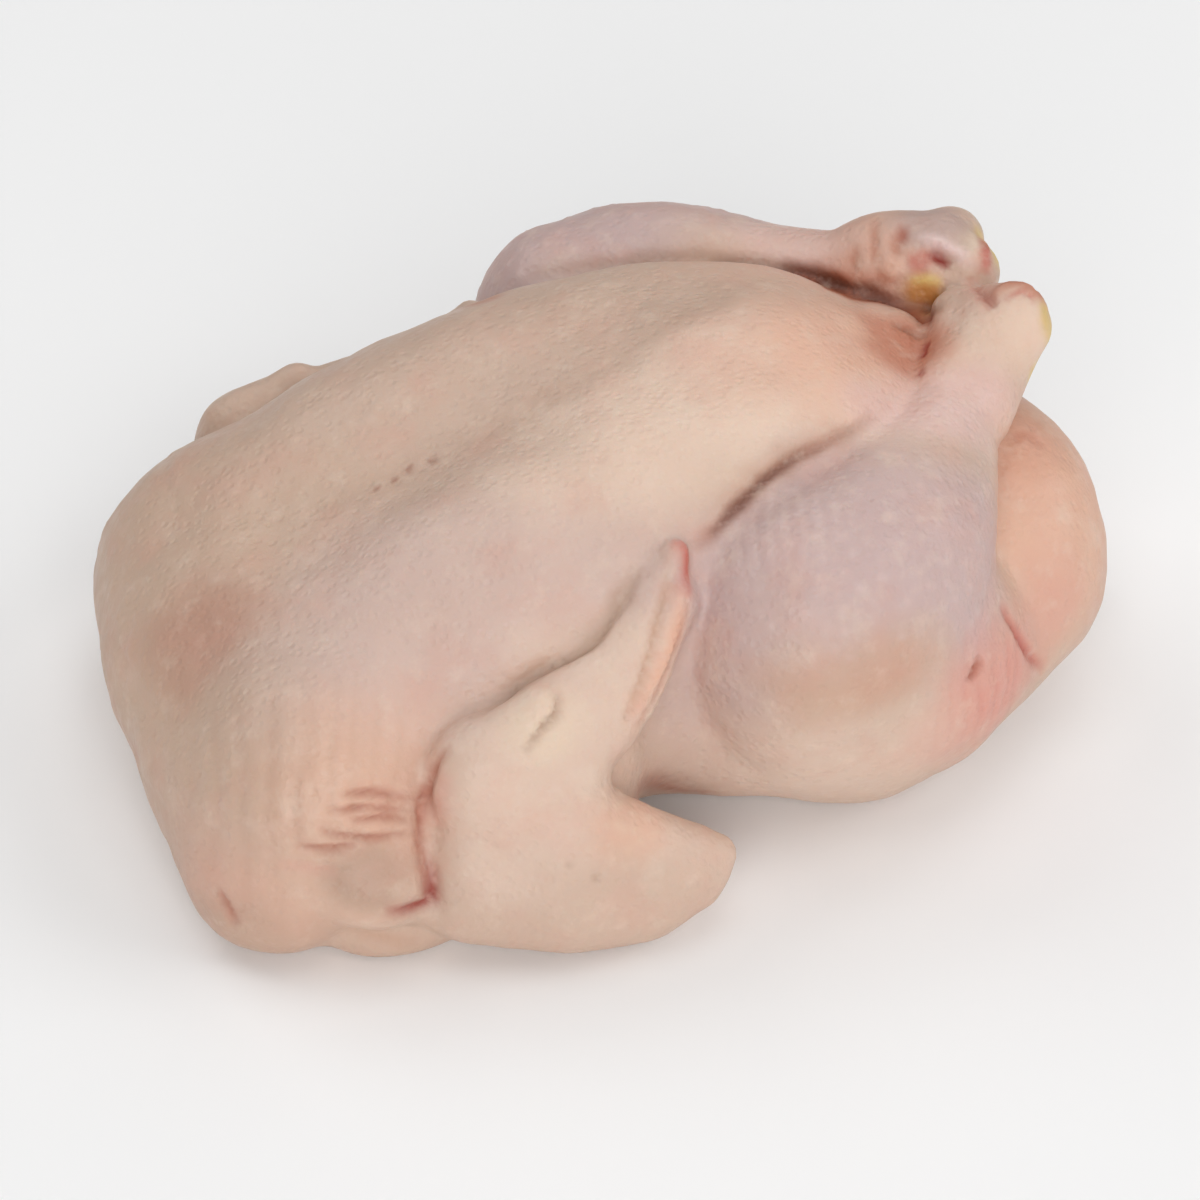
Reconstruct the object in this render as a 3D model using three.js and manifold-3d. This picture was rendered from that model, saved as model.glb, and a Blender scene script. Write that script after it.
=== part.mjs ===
// A whole raw chicken, plucked and drawn, lying on its back with its wings folded against the breast and
// its legs drawn up. Sizes are millimetres: +X runs toward the tail, +Y toward the bird's left side and
// +Z up from the board it rests on.
//
// The skin is one closed surface, the zero level of a distance that melts rounded forms into each other.
// A form is an ellipsoid of flesh, a tapered limb or a rounded triangle of skin. Each has its own blend,
// the width of the soft valley where it meets the rest. A wide blend gives a swell under the skin, and a
// narrow one gives a crease.

import * as THREE from "three";
import loadManifold from "manifold-3d";

const NEAR_SIDE = -1; // the bird's right, toward -Y
const FAR_SIDE = 1; // the bird's left, toward +Y

const GRID_EDGE = 4.6; // spacing of the grid that the skin is read off on
const MERGE_TOLERANCE = 0.34; // how far the skin may move when small triangles are merged
const FLOOR_BLEND = 2.6; // rounding where the soft body meets the board
const REST_LEVEL = 0.3; // skin lower than this lies flat on the board
const GRID_LOW = [-132, -108, -4];
const GRID_HIGH = [136, 108, 106];
const LIMB_STEPS = 8; // straight pieces in each span of a limb's curve
const BLEND_RISE = [10, 38]; // heights between which a leg's blend with the body narrows
const WIDEST_BLEND = 20; // no form's blend is wider
const NARROWEST_BLEND = 5; // a crease sharper than this would come out ragged on the grid
const FAR_AWAY = 1000;

const SKIN_COLOUR = new THREE.Color(0.83, 0.7, 0.6);

// Distances

// The smaller of two distances, rounded off over the blend's width where they are nearly equal.
function melt(first, second, blend) {
  const overlap = Math.max(blend - Math.abs(first - second), 0);
  return Math.min(first, second) - (overlap * overlap) / (4 * blend);
}

function smoothStep(low, high, value) {
  const share = THREE.MathUtils.clamp((value - low) / (high - low), 0, 1);
  return share * share * (3 - 2 * share);
}

// Forms: each has a bounding sphere (centre, reach) and gives [distance, blend] at a point.

function ellipsoid({ centre, radii, blend, yaw = 0, pitch = 0 }) {
  const turn = new THREE.Euler(0, -THREE.MathUtils.degToRad(pitch), THREE.MathUtils.degToRad(yaw), "ZYX");
  const unturn = new THREE.Quaternion().setFromEuler(turn).invert();
  const middle = new THREE.Vector3(...centre);
  const size = new THREE.Vector3(...radii);
  const offset = new THREE.Vector3();
  function measure(point) {
    offset.copy(point).sub(middle).applyQuaternion(unturn);
    const length = offset.length() + 1e-9;
    const ratio = offset.divide(size).length() + 1e-9;
    return [(length * (ratio - 1)) / ratio, blend];
  }
  return { centre: middle, reach: Math.max(...radii), measure };
}

// Points [x, y, z, radius] on a smooth curve through the given ones.
function smoothPath(stations) {
  if (stations.length === 2) return stations;
  const last = stations.length - 1;
  const beyond = (near, next) => near.map((value, axis) => 2 * value - next[axis]);
  const padded = [beyond(stations[0], stations[1]), ...stations, beyond(stations[last], stations[last - 1])];
  const path = [];
  for (let span = 0; span < last; span += 1) {
    const [before, start, end, after] = padded.slice(span, span + 4);
    for (let step = 0; step < LIMB_STEPS; step += 1) {
      const t = step / LIMB_STEPS;
      path.push(start.map((value, axis) => curveValue(before[axis], value, end[axis], after[axis], t)));
    }
  }
  path.push(stations[last]);
  return path;
}

// A Catmull-Rom curve between start and end, t from 0 to 1.
function curveValue(before, start, end, after, t) {
  const slope = end - before;
  const bend = 2 * before - 5 * start + 4 * end - after;
  const twist = 3 * start - before - 3 * end + after;
  return 0.5 * (2 * start + slope * t + bend * t * t + twist * t * t * t);
}

// A tapered tube through stations [x, y, z, radius]. Its blend can narrow along it, so a leg melts into
// the body at its root and stands clear at its end.
function limb({ stations, blend, endBlend = blend, narrowing = [0, 1] }) {
  const path = smoothPath(stations);
  const pieces = path.slice(1).map((end, index) => {
    const start = new THREE.Vector3(...path[index]);
    const run = new THREE.Vector3(...end).sub(start);
    return { start, run, square: run.lengthSq(), radius: path[index][3], growth: end[3] - path[index][3] };
  });
  const box = new THREE.Box3().setFromPoints(path.map((place) => new THREE.Vector3(...place)));
  const centre = box.getCenter(new THREE.Vector3());
  const reach = Math.max(...path.map((place) => centre.distanceTo(new THREE.Vector3(...place)) + place[3]));
  const offset = new THREE.Vector3();
  function measure(point) {
    let best = FAR_AWAY;
    let along = 0;
    pieces.forEach(({ start, run, square, radius, growth }, index) => {
      offset.copy(point).sub(start);
      const share = THREE.MathUtils.clamp(offset.dot(run) / square, 0, 1);
      const distance = offset.addScaledVector(run, -share).length() - radius - growth * share;
      if (distance < best) {
        best = distance;
        along = (index + share) / pieces.length;
      }
    });
    return [best, blend + (endBlend - blend) * smoothStep(narrowing[0], narrowing[1], along)];
  }
  return { centre, reach, measure };
}

// A flat triangle of skin and fat, rounded all round to the given thickness from its middle plane.
function web({ corners, thickness, blend }) {
  const triangle = new THREE.Triangle(...corners.map((corner) => new THREE.Vector3(...corner)));
  const centre = triangle.getMidpoint(new THREE.Vector3());
  const farthest = Math.max(...corners.map((corner) => centre.distanceTo(new THREE.Vector3(...corner))));
  const closest = new THREE.Vector3();
  function measure(point) {
    triangle.closestPointToPoint(point, closest);
    return [closest.distanceTo(point) - thickness, blend];
  }
  return { centre, reach: farthest + thickness, measure };
}

// Forms melted together first, so the whole group meets the body with a blend of its own, which can go
// from a wide one low down to a narrow one higher up.
function group(forms, blend, highBlend = blend) {
  const centre = new THREE.Vector3();
  forms.forEach((form) => centre.addScaledVector(form.centre, 1 / forms.length));
  const reach = Math.max(...forms.map((form) => centre.distanceTo(form.centre) + form.reach));
  function measure(point) {
    return [meltAll(forms, point), blend + (highBlend - blend) * smoothStep(...BLEND_RISE, point.z)];
  }
  return { centre, reach, measure };
}

// The distance of a point from all the forms melted together in order.
function meltAll(forms, point) {
  let distance = FAR_AWAY;
  for (const form of forms) {
    if (point.distanceTo(form.centre) - form.reach > distance + WIDEST_BLEND) continue;
    const [own, blend] = form.measure(point);
    distance = melt(distance, own, Math.max(blend, NARROWEST_BLEND));
  }
  return distance;
}

// The bird's parts

function trunk() {
  const forms = [ellipsoid({ centre: [-5.5, 0, 35], radii: [98.5, 61.5, 37], pitch: 3, blend: 14 })];
  for (const side of [NEAR_SIDE, FAR_SIDE]) {
    // the breast muscle, then its front end that falls away to the neck
    forms.push(
      ellipsoid({ centre: [-3.5, 24 * side, 59], radii: [77.5, 37, 32.5], yaw: -9 * side, pitch: 11, blend: 14 }),
      ellipsoid({ centre: [-56.5, 24.5 * side, 38.5], radii: [53, 35, 33.5], pitch: 17, blend: 19.5 }),
    );
  }
  const keel = [
    [-76, 0, 35, 23],
    [-28.5, 0, 53, 24],
    [28, 0, 75, 22],
    [65, 0, 68.5, 15],
  ];
  forms.push(limb({ stations: keel, blend: 10.5 }));
  return forms;
}

// The flesh that fills the hollow behind each folded wing.
function armpits() {
  return [NEAR_SIDE, FAR_SIDE].map((side) =>
    ellipsoid({ centre: [-43, 62 * side, 28], radii: [24, 14, 25], blend: 9 }),
  );
}

function neckEnd() {
  return [
    ellipsoid({ centre: [-84.5, 2, 27.5], radii: [36, 44.5, 29.5], blend: 16 }),
    ellipsoid({ centre: [-91.5, -31.5, 21.5], radii: [30, 32, 23.5], blend: 14 }),
    ellipsoid({ centre: [-84.5, -47.5, 30], radii: [31.5, 28, 31.5], blend: 14 }),
    ellipsoid({ centre: [-101, -51, 13], radii: [19, 19.5, 15], blend: 8 }),
    // a flap of skin on the board under the near shoulder
    ellipsoid({ centre: [-76, -64, 4.5], radii: [18.5, 11.5, 9], blend: 4 }),
    ellipsoid({ centre: [-79.5, 46, 26.5], radii: [30, 26.5, 28], blend: 17.5 }),
  ];
}

function rearEnd() {
  return [
    ellipsoid({ centre: [82, -19, 32], radii: [32.5, 42, 31.5], blend: 10.5 }),
    ellipsoid({ centre: [81, 14, 32], radii: [30, 36, 29], blend: 12 }),
    ellipsoid({ centre: [75.5, 2, 54.5], radii: [21, 24.5, 26.5], blend: 12.5 }),
    // the point of the breast, under the crossed hocks
    ellipsoid({ centre: [82, 4, 62], radii: [15, 15, 17], blend: 5 }),
    // the tail's stub, low between the thighs
    ellipsoid({ centre: [109, -2, 17.5], radii: [14, 13, 9], pitch: -10, blend: 7 }),
  ];
}

// A leg is its flank, the thigh against the body and the drumstick folded over it, with its hock.
function leg({ flank, thigh, drumstick, rootBlend, hock }) {
  const folded = [
    limb({ stations: thigh, blend: 12.5 }),
    limb({ stations: drumstick, blend: rootBlend, endBlend: 4, narrowing: [0.02, 0.3] }),
    ...knuckles(hock),
  ];
  return [limb({ stations: flank, blend: 10.5 }), group(folded, 12, 2.6)];
}

// The two knuckles at the end of a drumstick, side by side across the bone's line and flaring out from
// the shank. The tilt turns them about the bone, in degrees.
function knuckles({ end, boneLine, tilt = 0 }) {
  const along = new THREE.Vector3(...boneLine).normalize();
  const across = new THREE.Vector3().crossVectors(along, new THREE.Vector3(0, 0, 1)).normalize();
  across.applyAxisAngle(along, -THREE.MathUtils.degToRad(tilt));
  const shank = new THREE.Vector3(...end).addScaledVector(along, -20);
  return [-1, 1].map((side) => {
    const tip = new THREE.Vector3(...end).addScaledVector(across, side * 7.5).addScaledVector(along, 3);
    return limb({ stations: [[...shank.toArray(), 7], [...tip.toArray(), 7.8]], blend: 3.5 });
  });
}

function nearLeg() {
  const flank = [
    [-19.5, -37, 24.5, 19.5],
    [7, -44, 27, 23],
    [33.5, -48, 28, 25],
  ];
  const thigh = [
    [58, -45, 28.5, 28.5],
    [40.5, -49.5, 34.5, 34.5],
    [26, -53.5, 40.5, 31.5],
  ];
  const drumstick = [
    [22.5, -58, 54, 28.5],
    [44, -50, 58.5, 26],
    [72.5, -27, 72.5, 12],
    [84.5, -16.5, 80, 9.5],
    [91.5, -10.5, 83.5, 10.5],
  ];
  const hock = { end: [89.5, -10.5, 84.5], boneLine: [0.7, 0.55, 0.3], tilt: 22 };
  return leg({ flank, thigh, drumstick, rootBlend: 8.5, hock });
}

function farLeg() {
  const flank = [
    [-19.5, 37, 24.5, 19.5],
    [7, 44, 27, 23],
    [33.5, 48, 28, 25],
  ];
  const thigh = [
    [63, 37, 32.5, 32.5],
    [35, 51, 35, 34.5],
    [22.5, 56.5, 44, 30],
  ];
  const drumstick = [
    [18.5, 63.5, 60, 25],
    [38.5, 57, 64.5, 24],
    [59.5, 44, 70.5, 16],
    [72, 31.5, 79, 10.5],
    [82, 25.5, 83, 12.5],
    [91, 19, 84.5, 12.5],
  ];
  const hock = { end: [94, 17.5, 85.5], boneLine: [0.9, -0.2, 0.3] };
  return leg({ flank, thigh, drumstick, rootBlend: 10.5, hock });
}

// A wing folded flat: the upper arm runs back along the board, the forearm comes forward over it and the
// hand lies back along the breast.
function wing({ side, shift }) {
  const [dx, dy, dz] = shift;
  const place = (x, y, z, ...radius) => [x + dx, (y + dy) * side, z + dz, ...radius];
  const upperArm = limb({
    stations: [
      place(-78, 58, 17, 14),
      place(-50.5, 77.5, 16, 15),
      place(-33, 83, 11.5, 12.5),
      place(-20.5, 84.5, 13, 9.5),
    ],
    blend: 7,
  });
  const forearm = limb({
    stations: [place(-18.5, 83.5, 15.5, 8), place(-43, 80, 31, 10), place(-62, 72, 45, 10)],
    blend: 7,
  });
  const foldOfSkin = web({
    corners: [place(-64, 75, 15), place(-25, 84, 14.5), place(-60, 71.5, 44)],
    thickness: 9.4,
    blend: 7,
  });
  const wristFold = web({
    corners: [place(-61, 71.5, 45), place(-46, 78, 32), place(-41, 73, 44)],
    thickness: 8,
    blend: 7,
  });
  const leadingEdge = limb({
    stations: [
      place(-57.5, 71.5, 47.5, 9.5),
      place(-37, 68, 53.5, 9),
      place(-19.5, 61, 62, 7),
      place(-9, 55.5, 75.5, 4),
    ],
    blend: 5.5,
  });
  const trailingEdge = limb({
    stations: [
      place(-44, 75, 41, 7),
      place(-28, 69.5, 49, 6.5),
      place(-17, 63, 60, 5),
      place(-8, 56, 77.5, 3),
    ],
    blend: 5.5,
  });
  const handSkin = web({
    corners: [place(-53, 74, 47.5), place(-37, 73, 48.5), place(-10.5, 58.5, 67)],
    thickness: 6.5,
    blend: 6,
  });
  const thumb = web({
    corners: [place(-65, 73, 50), place(-57, 77, 49), place(-46.5, 72, 58)],
    thickness: 4.8,
    blend: 2.5,
  });
  const hand = group([trailingEdge, handSkin], 3.5);
  return group([upperArm, forearm, foldOfSkin, wristFold, leadingEdge, hand, thumb], 2.6);
}

const FORMS = [
  ...trunk(),
  ...neckEnd(),
  ...armpits(),
  ...rearEnd(),
  ...nearLeg(),
  ...farLeg(),
  wing({ side: NEAR_SIDE, shift: [0, 0, 0] }),
  wing({ side: FAR_SIDE, shift: [-4.5, -1.5, -2.5] }),
  // the end of the near shoulder, in front of the wing
  ellipsoid({ centre: [-83, -70.5, 21], radii: [15, 10.5, 11], blend: 3.5 }),
];
const VENT = ellipsoid({ centre: [118.5, -2, 29], radii: [12.5, 14, 2.5], blend: 5.5 });

// The distance of a point from the skin, negative inside the bird.
function skinDistance(point) {
  const body = meltAll(FORMS, point);
  const [ventDistance, ventBlend] = VENT.measure(point);
  const opened = -melt(-body, ventDistance, ventBlend);
  return -melt(-opened, point.z, FLOOR_BLEND);
}

function buildSolid({ Manifold }) {
  const point = new THREE.Vector3();
  const inside = (place) => -skinDistance(point.set(...place));
  const raw = Manifold.levelSet(inside, { min: GRID_LOW, max: GRID_HIGH }, GRID_EDGE);
  const resting = raw.warp((vertex) => {
    if (vertex[2] < REST_LEVEL) vertex[2] = 0;
  });
  const merged = resting.simplify(MERGE_TOLERANCE);
  const { min, max } = merged.boundingBox();
  return merged.translate([-(min[0] + max[0]) / 2, -(min[1] + max[1]) / 2, -min[2]]);
}

function geometryOf(solid) {
  const { vertProperties, triVerts } = solid.getMesh();
  const geometry = new THREE.BufferGeometry();
  geometry.setAttribute("position", new THREE.BufferAttribute(vertProperties, 3));
  geometry.setIndex(new THREE.BufferAttribute(triVerts, 1));
  geometry.computeVertexNormals();
  return geometry;
}

const manifold = await loadManifold();
manifold.setup();

const chicken = new THREE.Mesh(
  geometryOf(buildSolid(manifold)),
  new THREE.MeshStandardMaterial({ color: SKIN_COLOUR, roughness: 0.45, metalness: 0 }),
);
chicken.name = "chicken";

const part = new THREE.Group();
part.add(chicken);

export default part;
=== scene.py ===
"""A whole raw chicken, plucked and drawn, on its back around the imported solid.

The classes below hold their sizes in millimetres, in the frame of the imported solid: +X runs toward the
tail, +Y toward the bird's left side and +Z up from the board. Meshes are written in metres.

The skin folds over trunk, legs and wings as one branching surface, so no single grid of two parameters
covers it. It is the zero level of a distance worked out from three coordinates as whole arrays, and read
off as a net of four-sided faces. The floor is one flat square.
"""

import logging
import math
from dataclasses import dataclass
from enum import Enum
from typing import Iterable, Protocol, Sequence

import bpy
import numpy as np
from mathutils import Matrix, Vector


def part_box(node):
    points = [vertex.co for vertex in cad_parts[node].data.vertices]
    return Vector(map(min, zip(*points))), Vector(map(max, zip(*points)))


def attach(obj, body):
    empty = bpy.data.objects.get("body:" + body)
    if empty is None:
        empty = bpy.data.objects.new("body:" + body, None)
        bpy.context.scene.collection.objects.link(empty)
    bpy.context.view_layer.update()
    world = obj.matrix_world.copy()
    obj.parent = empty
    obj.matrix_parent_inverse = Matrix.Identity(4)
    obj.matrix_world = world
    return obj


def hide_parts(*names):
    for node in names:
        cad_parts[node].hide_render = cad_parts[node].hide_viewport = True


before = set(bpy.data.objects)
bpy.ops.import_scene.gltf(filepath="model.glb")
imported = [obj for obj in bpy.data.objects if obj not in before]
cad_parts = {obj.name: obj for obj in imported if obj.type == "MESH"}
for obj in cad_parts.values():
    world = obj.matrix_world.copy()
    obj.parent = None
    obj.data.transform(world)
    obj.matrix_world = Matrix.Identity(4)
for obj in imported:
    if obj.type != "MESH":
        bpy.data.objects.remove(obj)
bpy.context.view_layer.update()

Array = np.ndarray
Point = tuple[float, float, float]
Station = tuple[float, float, float, float]
Colour = tuple[float, float, float]
Socket = bpy.types.NodeSocket

MM = 0.001
TINY = 1e-9
FAR_AWAY = 1000.0
FIELD_REACH = 13.0
ROOT_BODY = "root"
CHICKEN_NODE = "chicken"

log = logging.getLogger("chicken")


class Side(Enum):
    """The two sides of the bird, as the sign of Y."""

    NEAR = -1
    FAR = 1


# Arithmetic on whole arrays


def unit(vectors: Array) -> Array:
    """Vectors brought to length one."""
    return vectors / np.maximum(np.linalg.norm(vectors, axis=-1, keepdims=True), TINY)


def smooth_step(low: float, high: float, values: Array) -> Array:
    """Rises from 0 at low to 1 at high as 3t^2 - 2t^3, flat at both ends."""
    share = np.clip((values - low) / (high - low), 0.0, 1.0)
    return share * share * (3.0 - 2.0 * share)


def melt(first: Array, second: Array, blend: Array | float) -> Array:
    """The smaller of two distances, rounded off where they are nearly equal.

    Formula: the minimum, less (blend - |first - second|)^2 / (4 blend) where that bracket is positive.

    Args:
        first: distances from one form.
        second: distances from the other.
        blend: width of the soft valley between them.

    Returns:
        The melted distances.
    """
    overlap = np.clip(blend - np.abs(first - second), 0.0, None)
    return np.minimum(first, second) - overlap * overlap / (4.0 * blend)


def smooth_path(stations: Sequence[Sequence[float]], steps: int) -> Array:
    """Points on a Catmull-Rom curve through the stations.

    Formula: each span is half of 2b + (c - a)t + (2a - 5b + 4c - d)t^2 + (3b - a - 3c + d)t^3, where a,
    b, c and d are four stations in a row and the ends are carried on in a straight line.

    Args:
        stations: rows of coordinates, with the radius last where there is one.
        steps: points in each span.

    Returns:
        One row for each point, the last station included.
    """
    rows = np.array(stations, float)
    if len(rows) == 2:
        return rows
    rows = np.vstack([2 * rows[0] - rows[1], rows, 2 * rows[-1] - rows[-2]])
    t = np.linspace(0.0, 1.0, steps, endpoint=False)[None, :, None]
    a, b, c, d = (rows[start : len(rows) - 3 + start, None, :] for start in range(4))
    low_powers = 2 * b + (c - a) * t
    spans = 0.5 * (low_powers + (2 * a - 5 * b + 4 * c - d) * t**2 + (3 * b - a - 3 * c + d) * t**3)
    return np.vstack([spans.reshape(-1, rows.shape[1]), rows[-2]])


def nearest_on_path(points: Array, path: Array, radii: Array) -> tuple[Array, Array]:
    """The distance of points from a tube along a path, and the way along it to the nearest place.

    Formula: the least, over the path's straight pieces, of the distance from the piece less the radius
    there.

    Args:
        points: rows x, y, z.
        path: rows x, y, z, the corners of the path.
        radii: the tube's radius at each corner.

    Returns:
        The distances, and the way along, which grows evenly with the pieces from 0 to 1.
    """
    pieces = len(path) - 1
    best = np.full(len(points), FAR_AWAY)
    along = np.zeros(len(points))
    for index in range(pieces):
        run = path[index + 1] - path[index]
        offset = points - path[index]
        share = np.clip(offset @ run / max(run @ run, TINY), 0.0, 1.0)
        radius = radii[index] + (radii[index + 1] - radii[index]) * share
        distance = np.linalg.norm(offset - share[:, None] * run, axis=1) - radius
        closer = distance < best
        best = np.where(closer, distance, best)
        along = np.where(closer, (index + share) / pieces, along)
    return best, along


def turn_matrix(yaw: float, pitch: float) -> Array:
    """A turn by pitch, which lifts +X, and then by yaw about Z, in degrees."""
    cy, sy = math.cos(math.radians(yaw)), math.sin(math.radians(yaw))
    cp, sp = math.cos(math.radians(pitch)), math.sin(math.radians(pitch))
    about_z = np.array([[cy, -sy, 0.0], [sy, cy, 0.0], [0.0, 0.0, 1.0]])
    about_y = np.array([[cp, 0.0, -sp], [0.0, 1.0, 0.0], [sp, 0.0, cp]])
    return about_z @ about_y


@dataclass(frozen=True)
class Wobble:
    """An even, seeded unevenness in space.

    Formula: the sum of sine waves in random directions, with lengths spread round the given one, over the
    square root of half their number and over the peak, so that its values stay mostly between -1 and 1.
    """

    wavelength: float
    seed: int
    waves: int = 14
    spread: tuple[float, float] = (0.7, 1.6)
    peak: float = 1.6

    def at(self, points: Array) -> Array:
        """The unevenness at each point."""
        draw = np.random.default_rng(self.seed)
        directions = unit(draw.normal(size=(self.waves, 3)))
        lengths = self.wavelength * draw.uniform(*self.spread, self.waves)
        phases = draw.uniform(0.0, 2.0 * math.pi, self.waves)
        angles = points @ (directions * (2.0 * math.pi / lengths)[:, None]).T + phases
        return np.sin(angles).sum(axis=1) / math.sqrt(0.5 * self.waves) / self.peak


# The forms that the flesh is made of


class Form(Protocol):
    """A rounded form with a distance, a blend and a sphere that holds it."""

    def sphere(self) -> tuple[Array, float]:
        """The centre and radius of a sphere around the form."""

    def widest_blend(self) -> float:
        """The widest blend that the form asks for."""

    def measure(self, points: Array) -> tuple[Array, Array | float]:
        """The distance and the blend at each point."""


def melt_all(forms: Iterable[Form], points: Array) -> Array:
    """The distance of points from forms melted together in order.

    Args:
        forms: the forms, each of which touches only the points that it can reach.
        points: rows x, y, z.

    Returns:
        One distance for each point, FAR_AWAY where nothing is near.
    """
    distance = np.full(len(points), FAR_AWAY)
    for form in forms:
        centre, reach = form.sphere()
        gap = np.linalg.norm(points - centre, axis=1) - reach
        near = np.flatnonzero(gap < np.minimum(distance + form.widest_blend(), FIELD_REACH))
        if len(near):
            own, blend = form.measure(points[near])
            distance[near] = melt(distance[near], own, blend)
    return distance


@dataclass(frozen=True)
class Ellipsoid:
    """A rounded lump.

    Formula: with the offset o from the centre, turned into the lump's own axes, and q the length of o
    over the radii, the distance is |o| (q - 1) / q.
    """

    centre: Point
    radii: Point
    blend: float
    yaw: float = 0.0
    pitch: float = 0.0

    def sphere(self) -> tuple[Array, float]:
        """The lump's centre and longest radius."""
        return np.array(self.centre), max(self.radii)

    def widest_blend(self) -> float:
        """The lump's one blend."""
        return self.blend

    def measure(self, points: Array) -> tuple[Array, float]:
        """The distance and the blend at each point."""
        offset = (points - np.array(self.centre)) @ turn_matrix(self.yaw, self.pitch)
        length = np.linalg.norm(offset, axis=1) + TINY
        ratio = np.linalg.norm(offset / np.array(self.radii), axis=1) + TINY
        return length * (ratio - 1.0) / ratio, self.blend


@dataclass(frozen=True)
class Limb:
    """A tapered tube along a smooth curve, which melts into the body at its root.

    Formula: the distance is the one from the tube along the curve's short straight pieces. The blend goes
    from its value at the root to the one at the end, as a smooth step over the narrowing.
    """

    stations: tuple[Station, ...]
    blend: float
    end_blend: float | None = None
    narrowing: tuple[float, float] = (0.0, 1.0)
    steps: int = 8

    def sphere(self) -> tuple[Array, float]:
        """The middle of the curve's box and the farthest reach of the tube from it."""
        path = smooth_path(self.stations, self.steps)
        centre = (path[:, :3].min(axis=0) + path[:, :3].max(axis=0)) / 2.0
        return centre, float((np.linalg.norm(path[:, :3] - centre, axis=1) + path[:, 3]).max())

    def widest_blend(self) -> float:
        """The blend at the root."""
        return self.blend

    def measure(self, points: Array) -> tuple[Array, Array]:
        """The distance and the blend at each point."""
        path = smooth_path(self.stations, self.steps)
        distance, along = nearest_on_path(points, path[:, :3], path[:, 3])
        end_blend = self.blend if self.end_blend is None else self.end_blend
        return distance, self.blend + (end_blend - self.blend) * smooth_step(*self.narrowing, along)


@dataclass(frozen=True)
class Web:
    """A flat triangle of skin, rounded all round.

    Formula: the distance from the triangle, less its half thickness. Inside the three edge planes that
    is the distance from its plane, and elsewhere the distance from its nearest edge.
    """

    corners: tuple[Point, Point, Point]
    thickness: float
    blend: float

    def sphere(self) -> tuple[Array, float]:
        """The triangle's middle and its farthest corner, thickness included."""
        corners = np.array(self.corners)
        centre = corners.mean(axis=0)
        return centre, float(np.linalg.norm(corners - centre, axis=1).max()) + self.thickness

    def widest_blend(self) -> float:
        """The web's one blend."""
        return self.blend

    def measure(self, points: Array) -> tuple[Array, float]:
        """The distance and the blend at each point."""
        corners = np.array(self.corners)
        edges = np.roll(corners, -1, axis=0) - corners
        normal = np.cross(edges[0], edges[1])
        from_edges = np.full(len(points), FAR_AWAY)
        within = np.ones(len(points), bool)
        for corner, edge in zip(corners, edges):
            offset = points - corner
            share = np.clip(offset @ edge / (edge @ edge), 0.0, 1.0)
            from_edges = np.minimum(from_edges, np.linalg.norm(offset - share[:, None] * edge, axis=1))
            within &= offset @ np.cross(normal, edge) >= 0.0
        from_plane = np.abs((points - corners[0]) @ normal) / np.linalg.norm(normal)
        return np.where(within, from_plane, from_edges) - self.thickness, self.blend


@dataclass(frozen=True)
class Group:
    """Forms melted together first, so that the whole group meets the body with a blend of its own.

    Formula: the blend goes from its low value to its high one with the height, as a smooth step over the
    rise.
    """

    forms: tuple[Form, ...]
    blend: float
    high_blend: float | None = None
    rise: tuple[float, float] = (10.0, 38.0)

    def sphere(self) -> tuple[Array, float]:
        """The mean of the forms' centres and a radius that holds all their spheres."""
        spheres = [form.sphere() for form in self.forms]
        centre = np.mean([middle for middle, _ in spheres], axis=0)
        return centre, max(float(np.linalg.norm(middle - centre)) + reach for middle, reach in spheres)

    def widest_blend(self) -> float:
        """The blend low down, which is never the narrower one."""
        return self.blend

    def measure(self, points: Array) -> tuple[Array, Array]:
        """The distance and the blend at each point."""
        high_blend = self.blend if self.high_blend is None else self.high_blend
        share = smooth_step(*self.rise, points[:, 2])
        return melt_all(self.forms, points), self.blend + (high_blend - self.blend) * share


# The bird's parts


@dataclass(frozen=True)
class Trunk:
    """The rump and back, the two breast muscles and the keel between them."""

    back: Ellipsoid = Ellipsoid((-5.5, 0, 35), (98.5, 61.5, 37), 14, pitch=3)
    keel: tuple[Station, ...] = (
        (-76, 0, 35, 23),
        (-28.5, 0, 53, 24),
        (28, 0, 75, 22),
        (65, 0, 68.5, 15),
    )
    keel_blend: float = 10.5

    def breast(self, side: Side) -> list[Form]:
        """One breast muscle, and its front end that falls away to the neck."""
        y = side.value
        return [
            Ellipsoid((-3.5, 24 * y, 59), (77.5, 37, 32.5), 14, yaw=-9 * y, pitch=11),
            Ellipsoid((-56.5, 24.5 * y, 38.5), (53, 35, 33.5), 19.5, pitch=17),
        ]

    def forms(self) -> list[Form]:
        """All the trunk's forms."""
        keel = Limb(self.keel, self.keel_blend)
        return [self.back, *self.breast(Side.NEAR), *self.breast(Side.FAR), keel]


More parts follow.
